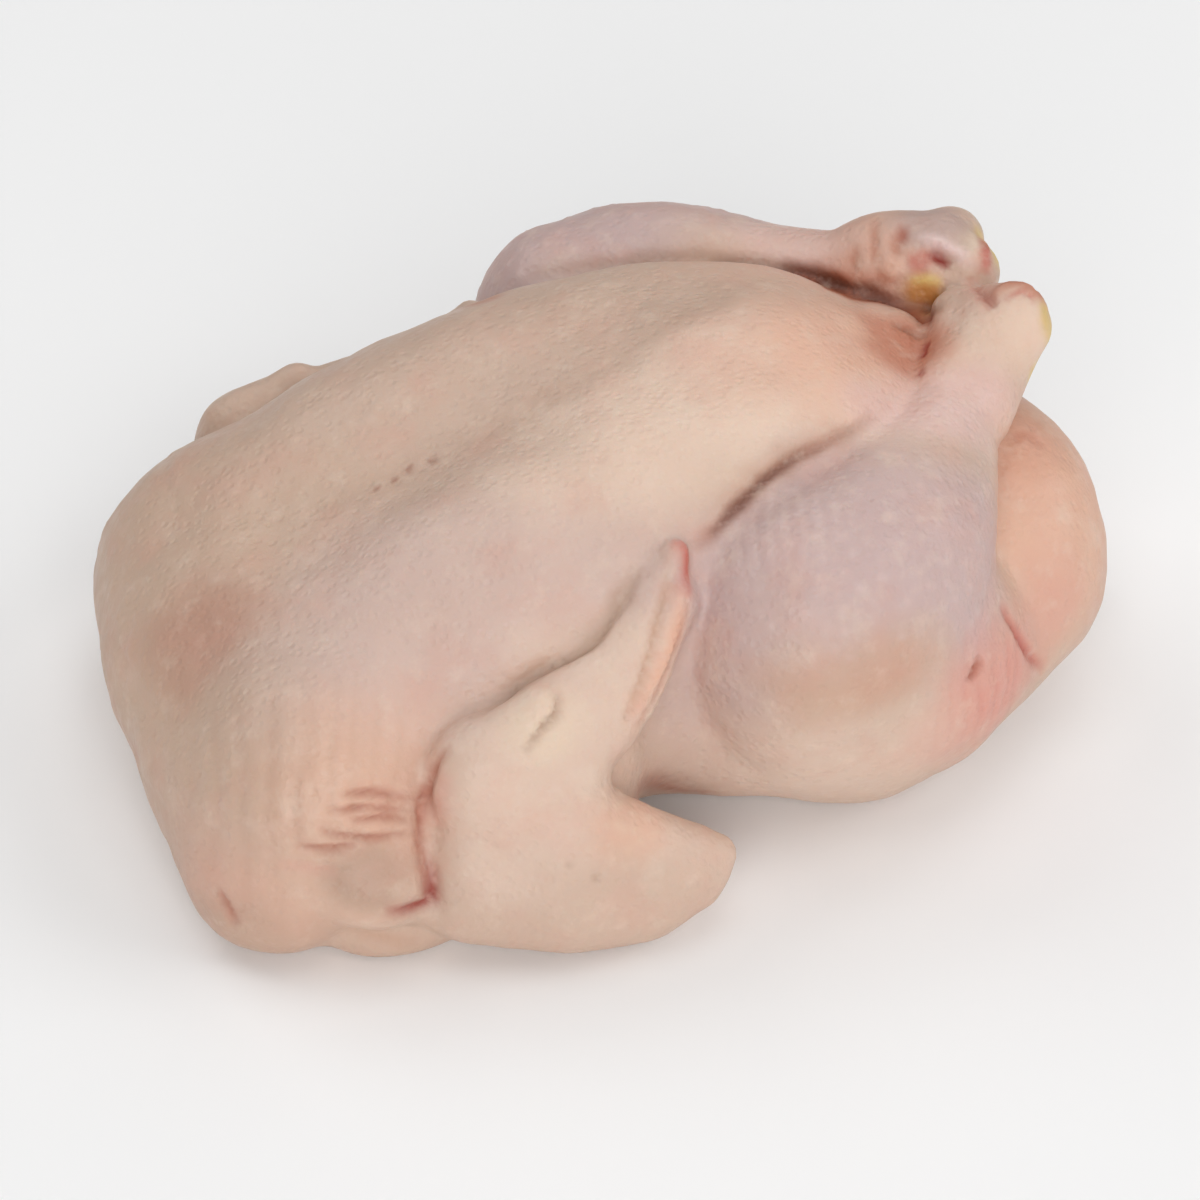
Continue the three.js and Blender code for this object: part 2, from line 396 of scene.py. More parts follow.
@dataclass(frozen=True)
class NeckEnd:
    """The broad front end, where the skin of the neck and both shoulders sags onto the board."""

    neck: Ellipsoid = Ellipsoid((-84.5, 2, 27.5), (36, 44.5, 29.5), 16)
    near_front: Ellipsoid = Ellipsoid((-91.5, -31.5, 21.5), (30, 32, 23.5), 14)
    near_shoulder: Ellipsoid = Ellipsoid((-84.5, -47.5, 30), (31.5, 28, 31.5), 14)
    near_foot: Ellipsoid = Ellipsoid((-101, -51, 13), (19, 19.5, 15), 8)
    skin_flap: Ellipsoid = Ellipsoid((-76, -64, 4.5), (18.5, 11.5, 9), 4)
    far_shoulder: Ellipsoid = Ellipsoid((-79.5, 46, 26.5), (30, 26.5, 28), 17.5)

    def armpit(self, side: Side) -> Form:
        """The flesh that fills the hollow behind a folded wing."""
        return Ellipsoid((-43, 62 * side.value, 28), (24, 14, 25), 9)

    def forms(self) -> list[Form]:
        """All the front end's forms."""
        near = [self.near_front, self.near_shoulder, self.near_foot, self.skin_flap]
        return [self.neck, *near, self.far_shoulder, self.armpit(Side.NEAR), self.armpit(Side.FAR)]


@dataclass(frozen=True)
class RearEnd:
    """The belly's fat with its upper shoulder, the point of the breast, the tail's stub and the vent."""

    belly: Ellipsoid = Ellipsoid((82, -19, 32), (32.5, 42, 31.5), 10.5)
    belly_shoulder: Ellipsoid = Ellipsoid((90, -20, 44), (20.5, 26, 22), 8)
    far_belly: Ellipsoid = Ellipsoid((81, 14, 32), (30, 36, 29), 12)
    breast_point: Ellipsoid = Ellipsoid((75.5, 2, 54.5), (21, 24.5, 26.5), 12.5)
    under_hocks: Ellipsoid = Ellipsoid((82, 4, 62), (15, 15, 17), 5)
    tail: Ellipsoid = Ellipsoid((109, -2, 17.5), (14, 13, 9), 7, pitch=-10)
    vent: Ellipsoid = Ellipsoid((118.5, -2, 29), (12.5, 14, 2.5), 5.5)

    def forms(self) -> list[Form]:
        """All the rear end's forms, without the vent, which is cut out of them."""
        belly = [self.belly, self.belly_shoulder, self.far_belly]
        return [*belly, self.breast_point, self.under_hocks, self.tail]


@dataclass(frozen=True)
class Leg:
    """A leg folded up: its flank, the thigh against the body and the drumstick over it."""

    flank: tuple[Station, ...]
    thigh: tuple[Station, ...]
    drumstick: tuple[Station, ...]
    root_blend: float
    hock: Point
    bone_line: Point
    tilt: float = 0.0
    knuckle_gap: float = 7.5
    knuckle_lead: float = 3.0
    knuckle_radius: float = 7.8
    flare: float = 20.0
    shank_radius: float = 7.0
    outer_side: tuple[Station, ...] = ()
    flank_blend: float = 10.5
    thigh_blend: float = 12.5
    shank_blend: float = 4.0
    shank_narrowing: tuple[float, float] = (0.02, 0.3)
    knuckle_blend: float = 3.5
    low_blend: float = 12.0
    high_blend: float = 2.6

    def knuckles(self) -> list[Form]:
        """The two knuckles at the drumstick's end, side by side across the bone's line."""
        along = unit(np.array(self.bone_line))
        level = unit(np.cross(along, (0.0, 0.0, 1.0)))
        tilt = math.radians(self.tilt)
        across = math.cos(tilt) * level + math.sin(tilt) * np.cross(level, along)
        shank = np.array(self.hock) - along * self.flare
        middle = np.array(self.hock) + along * self.knuckle_lead
        ends = [middle + across * sign * self.knuckle_gap for sign in (-1, 1)]
        root = (*shank.tolist(), self.shank_radius)
        return [Limb((root, (*end.tolist(), self.knuckle_radius)), self.knuckle_blend) for end in ends]

    def forms(self) -> list[Form]:
        """The leg's forms, hock included."""
        thigh = Limb(self.thigh, self.thigh_blend)
        shank = Limb(self.drumstick, self.root_blend, self.shank_blend, self.shank_narrowing)
        outer = [Limb(self.outer_side, self.shank_blend)] if self.outer_side else []
        folded = Group((thigh, shank, *outer, *self.knuckles()), self.low_blend, self.high_blend)
        return [Limb(self.flank, self.flank_blend), folded]


NEAR_LEG = Leg(
    flank=((-19.5, -37, 24.5, 19.5), (7, -44, 27, 23), (33.5, -48, 28, 25)),
    thigh=((58, -45, 28.5, 28.5), (40.5, -49.5, 34.5, 34.5), (26, -53.5, 40.5, 31.5)),
    drumstick=(
        (22.5, -58, 54, 28.5),
        (44, -50, 58.5, 26),
        (72.5, -27, 72.5, 12),
        (84.5, -16.5, 80, 9.5),
        (91.5, -10.5, 83.5, 10.5),
    ),
    root_blend=8.5,
    hock=(89.5, -10.5, 84.5),
    bone_line=(0.7, 0.55, 0.3),
    tilt=22.0,
    outer_side=((80, -25.5, 73.5, 9), (88, -20, 78, 7.8), (95.5, -17.5, 86.5, 6.6)),
)
FAR_LEG = Leg(
    flank=((-19.5, 37, 24.5, 19.5), (7, 44, 27, 23), (33.5, 48, 28, 25)),
    thigh=((63, 37, 32.5, 32.5), (35, 51, 35, 34.5), (22.5, 56.5, 44, 30)),
    drumstick=(
        (18.5, 63.5, 60, 25),
        (38.5, 57, 64.5, 24),
        (59.5, 44, 70.5, 16),
        (72, 31.5, 79, 10.5),
        (82, 25.5, 83, 12.5),
        (91, 19, 84.5, 12.5),
    ),
    root_blend=10.5,
    hock=(94, 17.5, 85.5),
    bone_line=(0.9, -0.2, 0.3),
)


@dataclass(frozen=True)
class Wing:
    """A wing folded flat: upper arm on the board, forearm forward over it, hand back along the breast."""

    side: Side
    shift: Point = (0.0, 0.0, 0.0)
    arm_blend: float = 7.0
    hand_blend: float = 5.5
    body_blend: float = 2.6

    def place(self, x: float, y: float, z: float, *radius: float) -> tuple[float, ...]:
        """A place on this side's wing, with a radius where it is a station."""
        dx, dy, dz = self.shift
        return (x + dx, (y + dy) * self.side.value, z + dz, *radius)

    def arm(self) -> list[Form]:
        """The upper arm, the forearm and the fold of skin between them."""
        p = self.place
        upper = (p(-78, 58, 17, 14), p(-50.5, 77.5, 16, 15), p(-33, 83, 11.5, 12.5), p(-20.5, 84.5, 13, 9.5))
        forearm = (p(-18.5, 83.5, 15.5, 8), p(-43, 80, 31, 10), p(-62, 72, 45, 10))
        return [
            Limb(upper, self.arm_blend),
            Limb(forearm, self.arm_blend),
            Web((p(-64, 75, 15), p(-25, 84, 14.5), p(-60, 71.5, 44)), 9.4, self.arm_blend),
            Web((p(-61, 71.5, 45), p(-46, 78, 32), p(-41, 73, 44)), 8, self.arm_blend),
            Web((p(-42, 80.5, 32), p(-10.5, 86.5, 17.5), p(-15, 88, 11.5)), 4.2, 4),
        ]

    def hand(self) -> list[Form]:
        """The hand's leading edge, its trailing edge with the skin between, and the thumb."""
        p = self.place
        leading = Limb(
            (p(-57.5, 71.5, 47.5, 9.5), p(-37, 68, 53.5, 9), p(-19.5, 61, 62, 7), p(-9, 55.5, 76, 3.2)),
            self.hand_blend,
        )
        trailing = Limb(
            (p(-44, 75, 41, 7), p(-28, 69.5, 49, 6.5), p(-17, 63, 60, 5), p(-8, 56, 78.5, 2.4)),
            self.hand_blend,
        )
        palm = Web((p(-53, 74, 47.5), p(-37, 73, 48.5), p(-10.5, 58.5, 67)), 6.5, 6)
        thumb = Web((p(-65, 73, 50), p(-57, 77, 49), p(-46.5, 72, 58)), 4.8, 2.5)
        return [leading, Group((trailing, palm), 3.5), thumb]

    def forms(self) -> list[Form]:
        """The whole wing as one group."""
        return [Group((*self.arm(), *self.hand()), self.body_blend)]


@dataclass(frozen=True)
class Bird:
    """The whole bird as one distance, negative inside."""

    trunk: Trunk = Trunk()
    neck_end: NeckEnd = NeckEnd()
    rear_end: RearEnd = RearEnd()
    legs: tuple[Leg, Leg] = (NEAR_LEG, FAR_LEG)
    wings: tuple[Wing, Wing] = (Wing(Side.NEAR), Wing(Side.FAR, (-4.5, -1.5, -2.5)))
    shoulder_end: Ellipsoid = Ellipsoid((-83, -70.5, 21), (15, 10.5, 11), 3.5)
    floor_blend: float = 2.6
    slope_step: float = 0.25

    def forms(self) -> list[Form]:
        """Every form of the bird, in the order they are melted together."""
        parts = (self.trunk, self.neck_end, self.rear_end, *self.legs, *self.wings)
        return [*(form for part in parts for form in part.forms()), self.shoulder_end]

    def distance(self, points: Array) -> Array:
        """The distance of points from the skin, with the vent cut out and the board's plane below."""
        body = melt_all(self.forms(), points)
        vent, blend = self.rear_end.vent.measure(points)
        opened = -melt(-body, vent, blend)
        return -melt(-opened, points[:, 2], self.floor_blend)

    def slope(self, points: Array) -> tuple[Array, Array]:
        """The distance and its gradient, by forward differences."""
        here = self.distance(points)
        ahead = [self.distance(points + self.slope_step * axis) - here for axis in np.eye(3)]
        return here, np.stack(ahead, axis=1) / self.slope_step


# Reading the skin off the distance

FLATTEST_SLOPE = 0.05
RING: tuple[tuple[int, int], ...] = ((0, 0), (1, 0), (1, 1), (0, 1))


def onto_skin(bird: Bird, points: Array, pulls: int, longest: float) -> Array:
    """Points moved along the distance's gradient onto the skin.

    Formula: each move is the gradient times the distance over the gradient's squared length, which is
    taken as FLATTEST_SLOPE at least.

    Args:
        bird: the bird whose skin it is.
        points: rows x, y, z near the skin.
        pulls: how many moves are made.
        longest: the longest that one move may be.

    Returns:
        The moved points.
    """
    for _ in range(pulls):
        distance, slope = bird.slope(points)
        move = (distance / np.maximum((slope**2).sum(axis=1), FLATTEST_SLOPE))[:, None] * slope
        length = np.linalg.norm(move, axis=1, keepdims=True)
        points = points - move * np.minimum(1.0, longest / np.maximum(length, TINY))
    return points


@dataclass(frozen=True)
class SkinNet:
    """A net of four-sided faces on the zero level of a distance.

    Formula: a grid of cubes is laid over the bird. Each cube that the skin goes through gets one point,
    the mean of the places where the distance changes sign on its edges. Each grid edge that changes sign
    gets one face through the points of its four cubes. The points are then moved onto the skin.

    The reach is in blocks, and the other shares are in cells.
    """

    low: Point = (-130.0, -106.0, -4.0)
    high: Point = (134.0, 106.0, 104.0)
    cell: float = 1.36
    block: int = 4
    reach: float = 1.15
    rounds: int = 6
    just_inside: float = -0.02
    pulls: int = 2
    longest_pull: float = 0.5

    def axes(self) -> list[Array]:
        """The grid's coordinates along X, Y and Z, a whole number of blocks long."""
        lengths = np.array(self.high) - np.array(self.low)
        counts = np.ceil(lengths / (self.cell * self.block)).astype(int) * self.block + 1
        return [low + self.cell * np.arange(count) for low, count in zip(self.low, counts)]

    def blocks_near_skin(self, coarse: Array) -> Array:
        """The blocks with a corner near the skin, each as the grid place of its lowest corner."""
        nearest = np.full([count - 1 for count in coarse.shape], FAR_AWAY)
        for corner in np.ndindex(2, 2, 2):
            part = tuple(slice(at, count - 1 + at) for at, count in zip(corner, coarse.shape))
            nearest = np.minimum(nearest, np.abs(coarse[part]))
        return np.argwhere(nearest < self.reach * self.cell * self.block) * self.block

    def sample(self, bird: Bird, axes: list[Array]) -> Array:
        """The distance on the grid: coarse everywhere, and exact in the blocks near the skin."""
        coarse_axes = [axis[:: self.block] for axis in axes]
        coarse_grid = np.stack(np.meshgrid(*coarse_axes, indexing="ij"), axis=-1)
        coarse = bird.distance(coarse_grid.reshape(-1, 3)).reshape(coarse_grid.shape[:-1])
        values = coarse
        for axis, line in enumerate(axes):
            values = np.repeat(values, self.block, axis=axis).take(range(len(line)), axis=axis)
        blocks = self.blocks_near_skin(coarse)
        offsets = np.arange(self.block + 1)
        wanted = np.zeros(values.shape, bool)
        wanted[
            (blocks[:, 0, None] + offsets)[:, :, None, None],
            (blocks[:, 1, None] + offsets)[:, None, :, None],
            (blocks[:, 2, None] + offsets)[:, None, None, :],
        ] = True
        place = np.nonzero(wanted)
        points = np.stack([line[index] for line, index in zip(axes, place)], axis=1)
        values[place] = bird.distance(points)
        return values

    def settle(self, values: Array) -> None:
        """Clears the grid's squares whose corners lie inside and outside in turn.

        At such a square the net would touch itself along an edge, so its outer corners are taken just
        inside. That can make another such square, so the grid is looked through several times.
        """
        for _ in range(self.rounds):
            for plane in ((0, 1), (0, 2), (1, 2)):
                turned = np.moveaxis(values, plane, (0, 1))
                rows, columns = turned.shape[0] - 1, turned.shape[1] - 1
                corners = [turned[i : rows + i, j : columns + j] for i, j in RING]
                inside = [corner < 0 for corner in corners]
                crossed = (inside[0] == inside[2]) & (inside[1] == inside[3]) & (inside[0] != inside[1])
                for corner in corners:
                    corner[crossed & (corner >= 0)] = self.just_inside * self.cell

    def points(self, values: Array, axes: list[Array]) -> tuple[Array, Array]:
        """One point for each cube that the skin passes through, and the grid of their numbers."""
        cubes = tuple(count - 1 for count in values.shape)
        total = np.zeros((*cubes, 3))
        count = np.zeros(cubes, int)
        for axis in range(3):
            before = np.moveaxis(values, axis, 0)[:-1]
            after = np.moveaxis(values, axis, 0)[1:]
            edges = np.stack(np.nonzero((before < 0) != (after < 0)), axis=1)
            first, second = before[tuple(edges.T)], after[tuple(edges.T)]
            order = [axis, *[other for other in range(3) if other != axis]]
            cells = np.empty_like(edges)
            cells[:, order] = edges
            crossing = np.stack([axes[other][cells[:, other]] for other in range(3)], axis=1)
            crossing[:, axis] += self.cell * first / (first - second)
            for shift in RING:
                cube = cells.copy()
                cube[:, order[1]] -= shift[0]
                cube[:, order[2]] -= shift[1]
                np.add.at(total, tuple(cube.T), crossing)
                np.add.at(count, tuple(cube.T), 1)
        live = count > 0
        numbers = np.full(cubes, -1)
        numbers[live] = np.arange(live.sum())
        return total[live] / count[live][:, None], numbers

    def faces(self, values: Array, numbers: Array) -> Array:
        """One outward face for each grid edge that the skin crosses."""
        sheets = []
        for axis in range(3):
            order = (axis, (axis + 1) % 3, (axis + 2) % 3)
            inside = np.moveaxis(values < 0, order, (0, 1, 2))
            cubes = np.moveaxis(numbers, order, (0, 1, 2))
            i, j, k = np.nonzero(inside[:-1, 1:-1, 1:-1] != inside[1:, 1:-1, 1:-1])
            ring = np.stack([cubes[i, j + dj, k + dk] for dj, dk in RING], axis=1)
            outward = inside[i, j + 1, k + 1]
            sheets.append(np.where(outward[:, None], ring, ring[:, ::-1]))
        return np.vstack(sheets)

    def build(self, bird: Bird) -> tuple[Array, Array, Array]:
        """The net's points, their outward normals and its faces."""
        axes = self.axes()
        values = self.sample(bird, axes)
        self.settle(values)
        points, numbers = self.points(values, axes)
        faces = self.faces(values, numbers)
        points = onto_skin(bird, points, self.pulls, self.longest_pull * self.cell)
        return points, unit(bird.slope(points)[1]), faces


# Colours and materials


def srgb(red: float, green: float, blue: float) -> Colour:
    """A colour given as 0 to 255 on screen, in the linear light that shaders use."""
    shown = np.array((red, green, blue)) / 255.0
    return tuple(np.where(shown <= 0.04045, shown / 12.92, ((shown + 0.055) / 1.055) ** 2.4).tolist())


class Shader:
    """A material's node tree, with short calls to add nodes and join them."""

    def __init__(self, name: str) -> None:
        """Starts a material with a Principled BSDF wired to its output."""
        self.material = bpy.data.materials.new(name)
        self.material.use_nodes = True
        self.tree = self.material.node_tree
        self.surface = self.tree.nodes["Principled BSDF"]

    def node(self, kind: str, **settings: object) -> bpy.types.Node:
        """A new node of a kind, with its properties set."""
        made = self.tree.nodes.new(kind)
        for key, value in settings.items():
            setattr(made, key, value)
        return made

    def join(self, source: Socket, target: Socket) -> None:
        """A link from one socket to another."""
        self.tree.links.new(source, target)

    def value(self, target: str, amount: float | Sequence[float]) -> None:
        """Sets one of the surface's own sockets."""
        self.surface.inputs[target].default_value = amount

    def coordinates(self) -> Socket:
        """Object coordinates, in metres."""
        return self.node("ShaderNodeTexCoord").outputs["Object"]

    def attribute(self, name: str, output: str) -> Socket:
        """A value that the mesh carries."""
        return self.node("ShaderNodeAttribute", attribute_name=name).outputs[output]

    def noise(self, scale: float, detail: float, roughness: float = 0.5) -> Socket:
        """Even noise with features of one over scale metres."""
        made = self.node("ShaderNodeTexNoise")
        made.inputs["Scale"].default_value = scale
        made.inputs["Detail"].default_value = detail
        made.inputs["Roughness"].default_value = roughness
        self.join(self.coordinates(), made.inputs["Vector"])
        return made.outputs["Fac"]

    def pores(self, scale: float) -> Socket:
        """The distance to the nearest of many scattered points, in cells."""
        made = self.node("ShaderNodeTexVoronoi", feature="F1")
        made.inputs["Scale"].default_value = scale
        self.join(self.coordinates(), made.inputs["Vector"])
        return made.outputs["Distance"]

    def ranged(self, source: Socket, low: float, high: float, to_low: float, to_high: float) -> Socket:
        """A value taken smoothly from one range to another."""
        made = self.node("ShaderNodeMapRange", interpolation_type="SMOOTHSTEP")
        ends = {"From Min": low, "From Max": high, "To Min": to_low, "To Max": to_high}
        for name, number in ends.items():
            made.inputs[name].default_value = number
        self.join(source, made.inputs["Value"])
        return made.outputs["Result"]

    def added(self, first: Socket, second: Socket) -> Socket:
        """The sum of two values."""
        made = self.node("ShaderNodeMath", operation="ADD")
        self.join(first, made.inputs[0])
        self.join(second, made.inputs[1])
        return made.outputs[0]

    def mixed(self, share: Socket, first: Socket, second: Colour) -> Socket:
        """A colour mixed toward a second one by a share."""
        made = self.node("ShaderNodeMix", data_type="RGBA", blend_type="MIX")
        self.join(share, made.inputs["Factor"])
        self.join(first, made.inputs["A"])
        made.inputs["B"].default_value = (*second, 1.0)
        return made.outputs["Result"]

    def bump(self, height: Socket, strength: float, depth: float) -> None:
        """Fine relief of a depth in metres on the surface's normal."""
        made = self.node("ShaderNodeBump")
        made.inputs["Strength"].default_value = strength
        made.inputs["Distance"].default_value = depth
        self.join(height, made.inputs["Height"])
        self.join(made.outputs["Normal"], self.surface.inputs["Normal"])


@dataclass(frozen=True)
class SkinFinish:
    """Raw, moist chicken skin: a thin, slightly see-through layer over fat and muscle."""

    name: str = "raw_skin"
    reddish: Colour = srgb(212, 158, 140)
    fat: Colour = srgb(228, 206, 188)
    blotches_per_metre: float = 60.0
    pores_per_metre: float = 440.0
    grain_per_metre: float = 1100.0
    gloss_per_metre: float = 150.0
    bump_strength: float = 0.45
    bump_depth: float = 0.0003
    roughness: tuple[float, float] = (0.4, 0.62)
    surface: tuple[tuple[str, float | Colour], ...] = (
        ("Subsurface Weight", 0.18),
        ("Subsurface Radius", (1.0, 0.42, 0.25)),
        ("Subsurface Scale", 0.003),
        ("Specular IOR Level", 0.38),
        ("Coat Weight", 0.08),
        ("Coat Roughness", 0.3),
    )

    def colour(self, shader: Shader) -> Socket:
        """The tint that the mesh carries, with faint reddish blotches and paler fat showing through."""
        broad = shader.noise(self.blotches_per_metre, detail=4.0, roughness=0.6)
        reddish = shader.ranged(broad, 0.45, 0.75, 0.0, 0.3)
        colour = shader.mixed(reddish, shader.attribute("tint", "Color"), self.reddish)
        fine = shader.noise(2.4 * self.blotches_per_metre, detail=4.0, roughness=0.6)
        pale = shader.ranged(fine, 0.5, 0.75, 0.0, 0.28)
        return shader.mixed(pale, colour, self.fat)

    def material(self) -> bpy.types.Material:
        """The skin's whole material."""
        shader = Shader(self.name)
        shader.join(self.colour(shader), shader.surface.inputs["Base Color"])
        pores = shader.ranged(shader.pores(self.pores_per_metre), 0.1, 0.55, 0.0, 1.0)
        height = shader.added(pores, shader.noise(self.grain_per_metre, detail=3.0))
        shader.bump(height, self.bump_strength, self.bump_depth)
        gloss = shader.ranged(shader.noise(self.gloss_per_metre, detail=3.0), 0.3, 0.7, *self.roughness)
        shader.join(gloss, shader.surface.inputs["Roughness"])
        for target, amount in self.surface:
            shader.value(target, amount)
        return shader.material


@dataclass(frozen=True)
class FloorFinish:
    """Plain white paper."""

    name: str = "white_floor"
    surface: tuple[tuple[str, float | tuple[float, ...]], ...] = (
        ("Emission Color", (1.0, 1.0, 1.0, 1.0)),
        ("Emission Strength", 0.06),
        ("Base Color", (0.9, 0.9, 0.9, 1.0)),
        ("Roughness", 0.9),
        ("Specular IOR Level", 0.1),
    )

    def material(self) -> bpy.types.Material:
        """A plain matt white, lit a little from within so that it stays white."""
        shader = Shader(self.name)
        for target, amount in self.surface:
            shader.value(target, amount)
        return shader.material


# Creases, small relief and tints, each laid on near a place or a line of the skin


class Tone(Enum):
    """The skin's tints as a screen shows them in even light: red, green and blue up to 255.

    Where one of them darkens a crease, a hollow or a shaded side, it is painted shade.
    """

    BEIGE = (206, 177, 158)
    OCHRE = (204, 173, 150)
    ROSY = (211, 183, 172)
    PALE = (222, 195, 177)
    CREAM = (226, 203, 180)
    FAIR = (234, 206, 185)
    PEACH = (226, 178, 153)
    PINK = (216, 158, 142)
    RED_PINK = (222, 148, 134)
    MAUVE = (199, 172, 168)
    # painted shade: a darker mauve laid along the near drumstick's edge by the crease
    MAUVE_SHADE = (184, 156, 151)
    SHANK_PINK = (224, 190, 182)
    # the thigh's own tan; laid in pleat troughs and creases it is painted shade
    TAN = (198, 158, 134)
    SHADE = (180, 147, 126)
    BUMP = (186, 154, 134)
    GOOSE = (220, 196, 188)
    # painted shade for hollows and pleat troughs, a little redder than the skin
    HOLLOW_SHADE = (186, 142, 122)
    ORANGE = (196, 134, 110)
    COLLAR = (208, 163, 145)
    GREY = (188, 160, 150)
    # brown of the breast's dots; in creases, the near hock's pit and under the far hock's fat it is painted
    # shade
    BROWN = (150, 96, 74)
    # painted shade for the deepest creases and hollows
    DEEP_SHADE = (104, 58, 42)
    # painted shade for the hollow under the far shank, warmed to stand for light bounced between the skin's
    # walls
    WARM_SHADE = (158, 80, 48)
    DARK_RED = (148, 38, 22)
    # painted shade for narrow creases, slits and crevices
    CREVICE_SHADE = (164, 82, 56)
    # a rusty skin tint; in the far hock's wrinkles, under its shank and under the near wing's strip it is
    # painted shade
    RUST = (186, 116, 88)
    RED = (190, 92, 78)
    GOLD = (190, 128, 62)
    YELLOW = (216, 186, 108)
    GRISTLE = (226, 198, 192)

    def light(self) -> Colour:
        """The tint in the linear light that shaders use."""
        return srgb(*self.value)


class Detail(Protocol):
    """A small change of the skin: a rise or a fall, a tint, or both."""

    tone: Tone

    def lay(self, points: Array, bird: Bird) -> tuple[Array, Array, Array]:
        """The numbers of the points it changes, and the rise and the tint's share at each."""


@dataclass(frozen=True)
class Patch:
    """A soft-edged area of another tint, which may also stand out a little.

    Formula: with q the length of the offset from the centre over the radii, wobbled at its edge, the
    share is 1 within q = 1 - softness, falling smoothly to 0 at q = 1 + softness.
    """

    centre: Point
    radii: Point
    tone: Tone
    strength: float
    softness: float = 0.5
    height: float = 0.0
    edge_wobble: float = 0.12

    def cover(self, points: Array) -> tuple[Array, Array]:
        """The numbers of the points within the patch, and the share of it at each."""
        ratio = np.linalg.norm((points - np.array(self.centre)) / np.array(self.radii), axis=1)
        near = np.flatnonzero(ratio < 1.25 + self.softness)
        edge = self.edge_wobble * Wobble(1.2 * min(self.radii) + 2.0, seed=5).at(points[near])
        return near, 1.0 - smooth_step(1.0 - self.softness, 1.0 + self.softness, ratio[near] + edge)

    def lay(self, points: Array, bird: Bird) -> tuple[Array, Array, Array]:
        """The numbers of the points within the patch, and the rise and the tint's share at each."""
        near, share = self.cover(points)
        return near, self.height * share, self.strength * share


@dataclass(frozen=True)
class Fold:
    """A crease, or a ridge, along a smooth curve that is pulled onto the skin.

    Formula: with d the distance from the curve, made uneven by about a fifth, and t from 0 to 1 along it,
    the rise is height exp(-(d / width)^2) and the tint's share is strength exp(-(d / tint_width)^2), both
    times sin(pi t)^ending. Only the points in a box around the curve, reach widths larger on every side,
    are changed.
    """

    through: tuple[Point, ...]
    width: float
    height: float
    tone: Tone
    tint_width: float
    strength: float
    unevenness: float = 0.18
    ending: float = 0.6
    reach: float = 2.6

    def lay(self, points: Array, bird: Bird) -> tuple[Array, Array, Array]:
        """The numbers of the points near the curve, and the rise and the tint's share at each."""
        path = onto_skin(bird, smooth_path(self.through, steps=8), pulls=4, longest=1.5)
        reach = self.reach * max(self.width, self.tint_width)
        inside = (points > path.min(axis=0) - reach) & (points < path.max(axis=0) + reach)
        near = np.flatnonzero(inside.all(axis=1))
        distance, along = nearest_on_path(points[near], path, np.zeros(len(path)))
        distance *= 1.0 + self.unevenness * Wobble(7.0, seed=8).at(points[near])
        ending = np.clip(np.sin(math.pi * along), 0.0, 1.0) ** self.ending
        rise = self.height * np.exp(-((distance / self.width) ** 2)) * ending
        return near, rise, self.strength * np.exp(-((distance / self.tint_width) ** 2)) * ending


@dataclass(frozen=True)
class Pleats:
    """Fine ripples of the skin side by side, across one direction, within a patch.

    Formula: the rise is height times the sine of 2 pi (the way along the direction over the spacing),
    with its phase wandering, times the patch's share. The tint lies in the troughs, and a darker tint there
    is painted shade.
    """

    area: Patch
    direction: Point
    spacing: float
    height: float
    tone: Tone
    strength: float

    def lay(self, points: Array, bird: Bird) -> tuple[Array, Array, Array]:
        """The numbers of the points within the patch, and the rise and the tint's share at each."""
        near, share = self.area.cover(points)
        way = points[near] @ unit(np.array(self.direction)) / self.spacing
        fading = 0.65 + 0.35 * Wobble(3.0 * self.spacing, seed=10).at(points[near])
        wandering = 1.5 * Wobble(5.0 * self.spacing, seed=9).at(points[near])
        wave = np.sin(2.0 * math.pi * way + wandering)
        trough = np.clip(-wave, 0.0, 1.0)
        return near, self.height * wave * fading * share, self.strength * trough * share


@dataclass(frozen=True)
class Follicles:
    """Small round bumps where feathers stood, scattered over a patch.

    Formula: the places are a cubic lattice, moved by seeded jitter, of which those within half a spacing
    of the skin are pulled onto it. With d the distance from a place and s its own seeded strength, the
    rise is the greatest of height s exp(-(d / radius)^2), and the tint's share is strength times the
    same fall.
    """

    area: Patch
    spacing: float
    radius: float
    height: float
    tone: Tone
    strength: float
    seed: int
    jitter: float = 0.35

    def places(self, bird: Bird) -> Array:
        """The bumps' places on the skin."""
        centre, radii = np.array(self.area.centre), np.array(self.area.radii)
        steps = [np.arange(-reach, reach, self.spacing) for reach in radii]
        lattice = np.stack(np.meshgrid(*steps, indexing="ij"), axis=-1).reshape(-1, 3)
        lattice = lattice[np.linalg.norm(lattice / radii, axis=1) < 1.0] + centre
        moves = np.random.default_rng(self.seed).uniform(-self.jitter, self.jitter, lattice.shape)
        lattice = lattice + self.spacing * moves
        lattice = lattice[np.abs(bird.distance(lattice)) < 0.5 * self.spacing]
        return onto_skin(bird, lattice, pulls=4, longest=2.0)

    def lay(self, points: Array, bird: Bird) -> tuple[Array, Array, Array]:
        """The numbers of the points within the patch, and the rise and the tint's share at each."""
        near, share = self.area.cover(points)
        places = self.places(bird)
        strengths = np.random.default_rng(self.seed + 1).uniform(0.2, 1.0, len(places))
        fall = np.zeros(len(near))
        for place, strength in zip(places, strengths):
            distance = np.linalg.norm(points[near] - place, axis=1)
            fall = np.maximum(fall, strength * np.exp(-((distance / self.radius) ** 2)))
        fall *= share
        return near, self.height * fall, self.strength * fall


ACROSS_THE_PICTURE: Point = (0.92, -0.38, 0.0)


def dots(
    places: Sequence[Point], radius: float, tone: Tone, strength: float, height: float = 0.0
) -> list[Detail]:
    """Small round marks of one size and tint."""
    radii = (radius, radius, radius)
    return [Patch(place, radii, tone, strength, softness=0.6, height=height) for place in places]


def follicles(
    centre: Point, radii: Point, spacing: float, radius: float, height: float, strength: float, seed: int
) -> Detail:
    """Pale follicles over an area that has no tint of its own."""
    area = Patch(centre, radii, Tone.PALE, 1.0)
    return Follicles(area, spacing, radius, height, Tone.PALE, strength, seed)


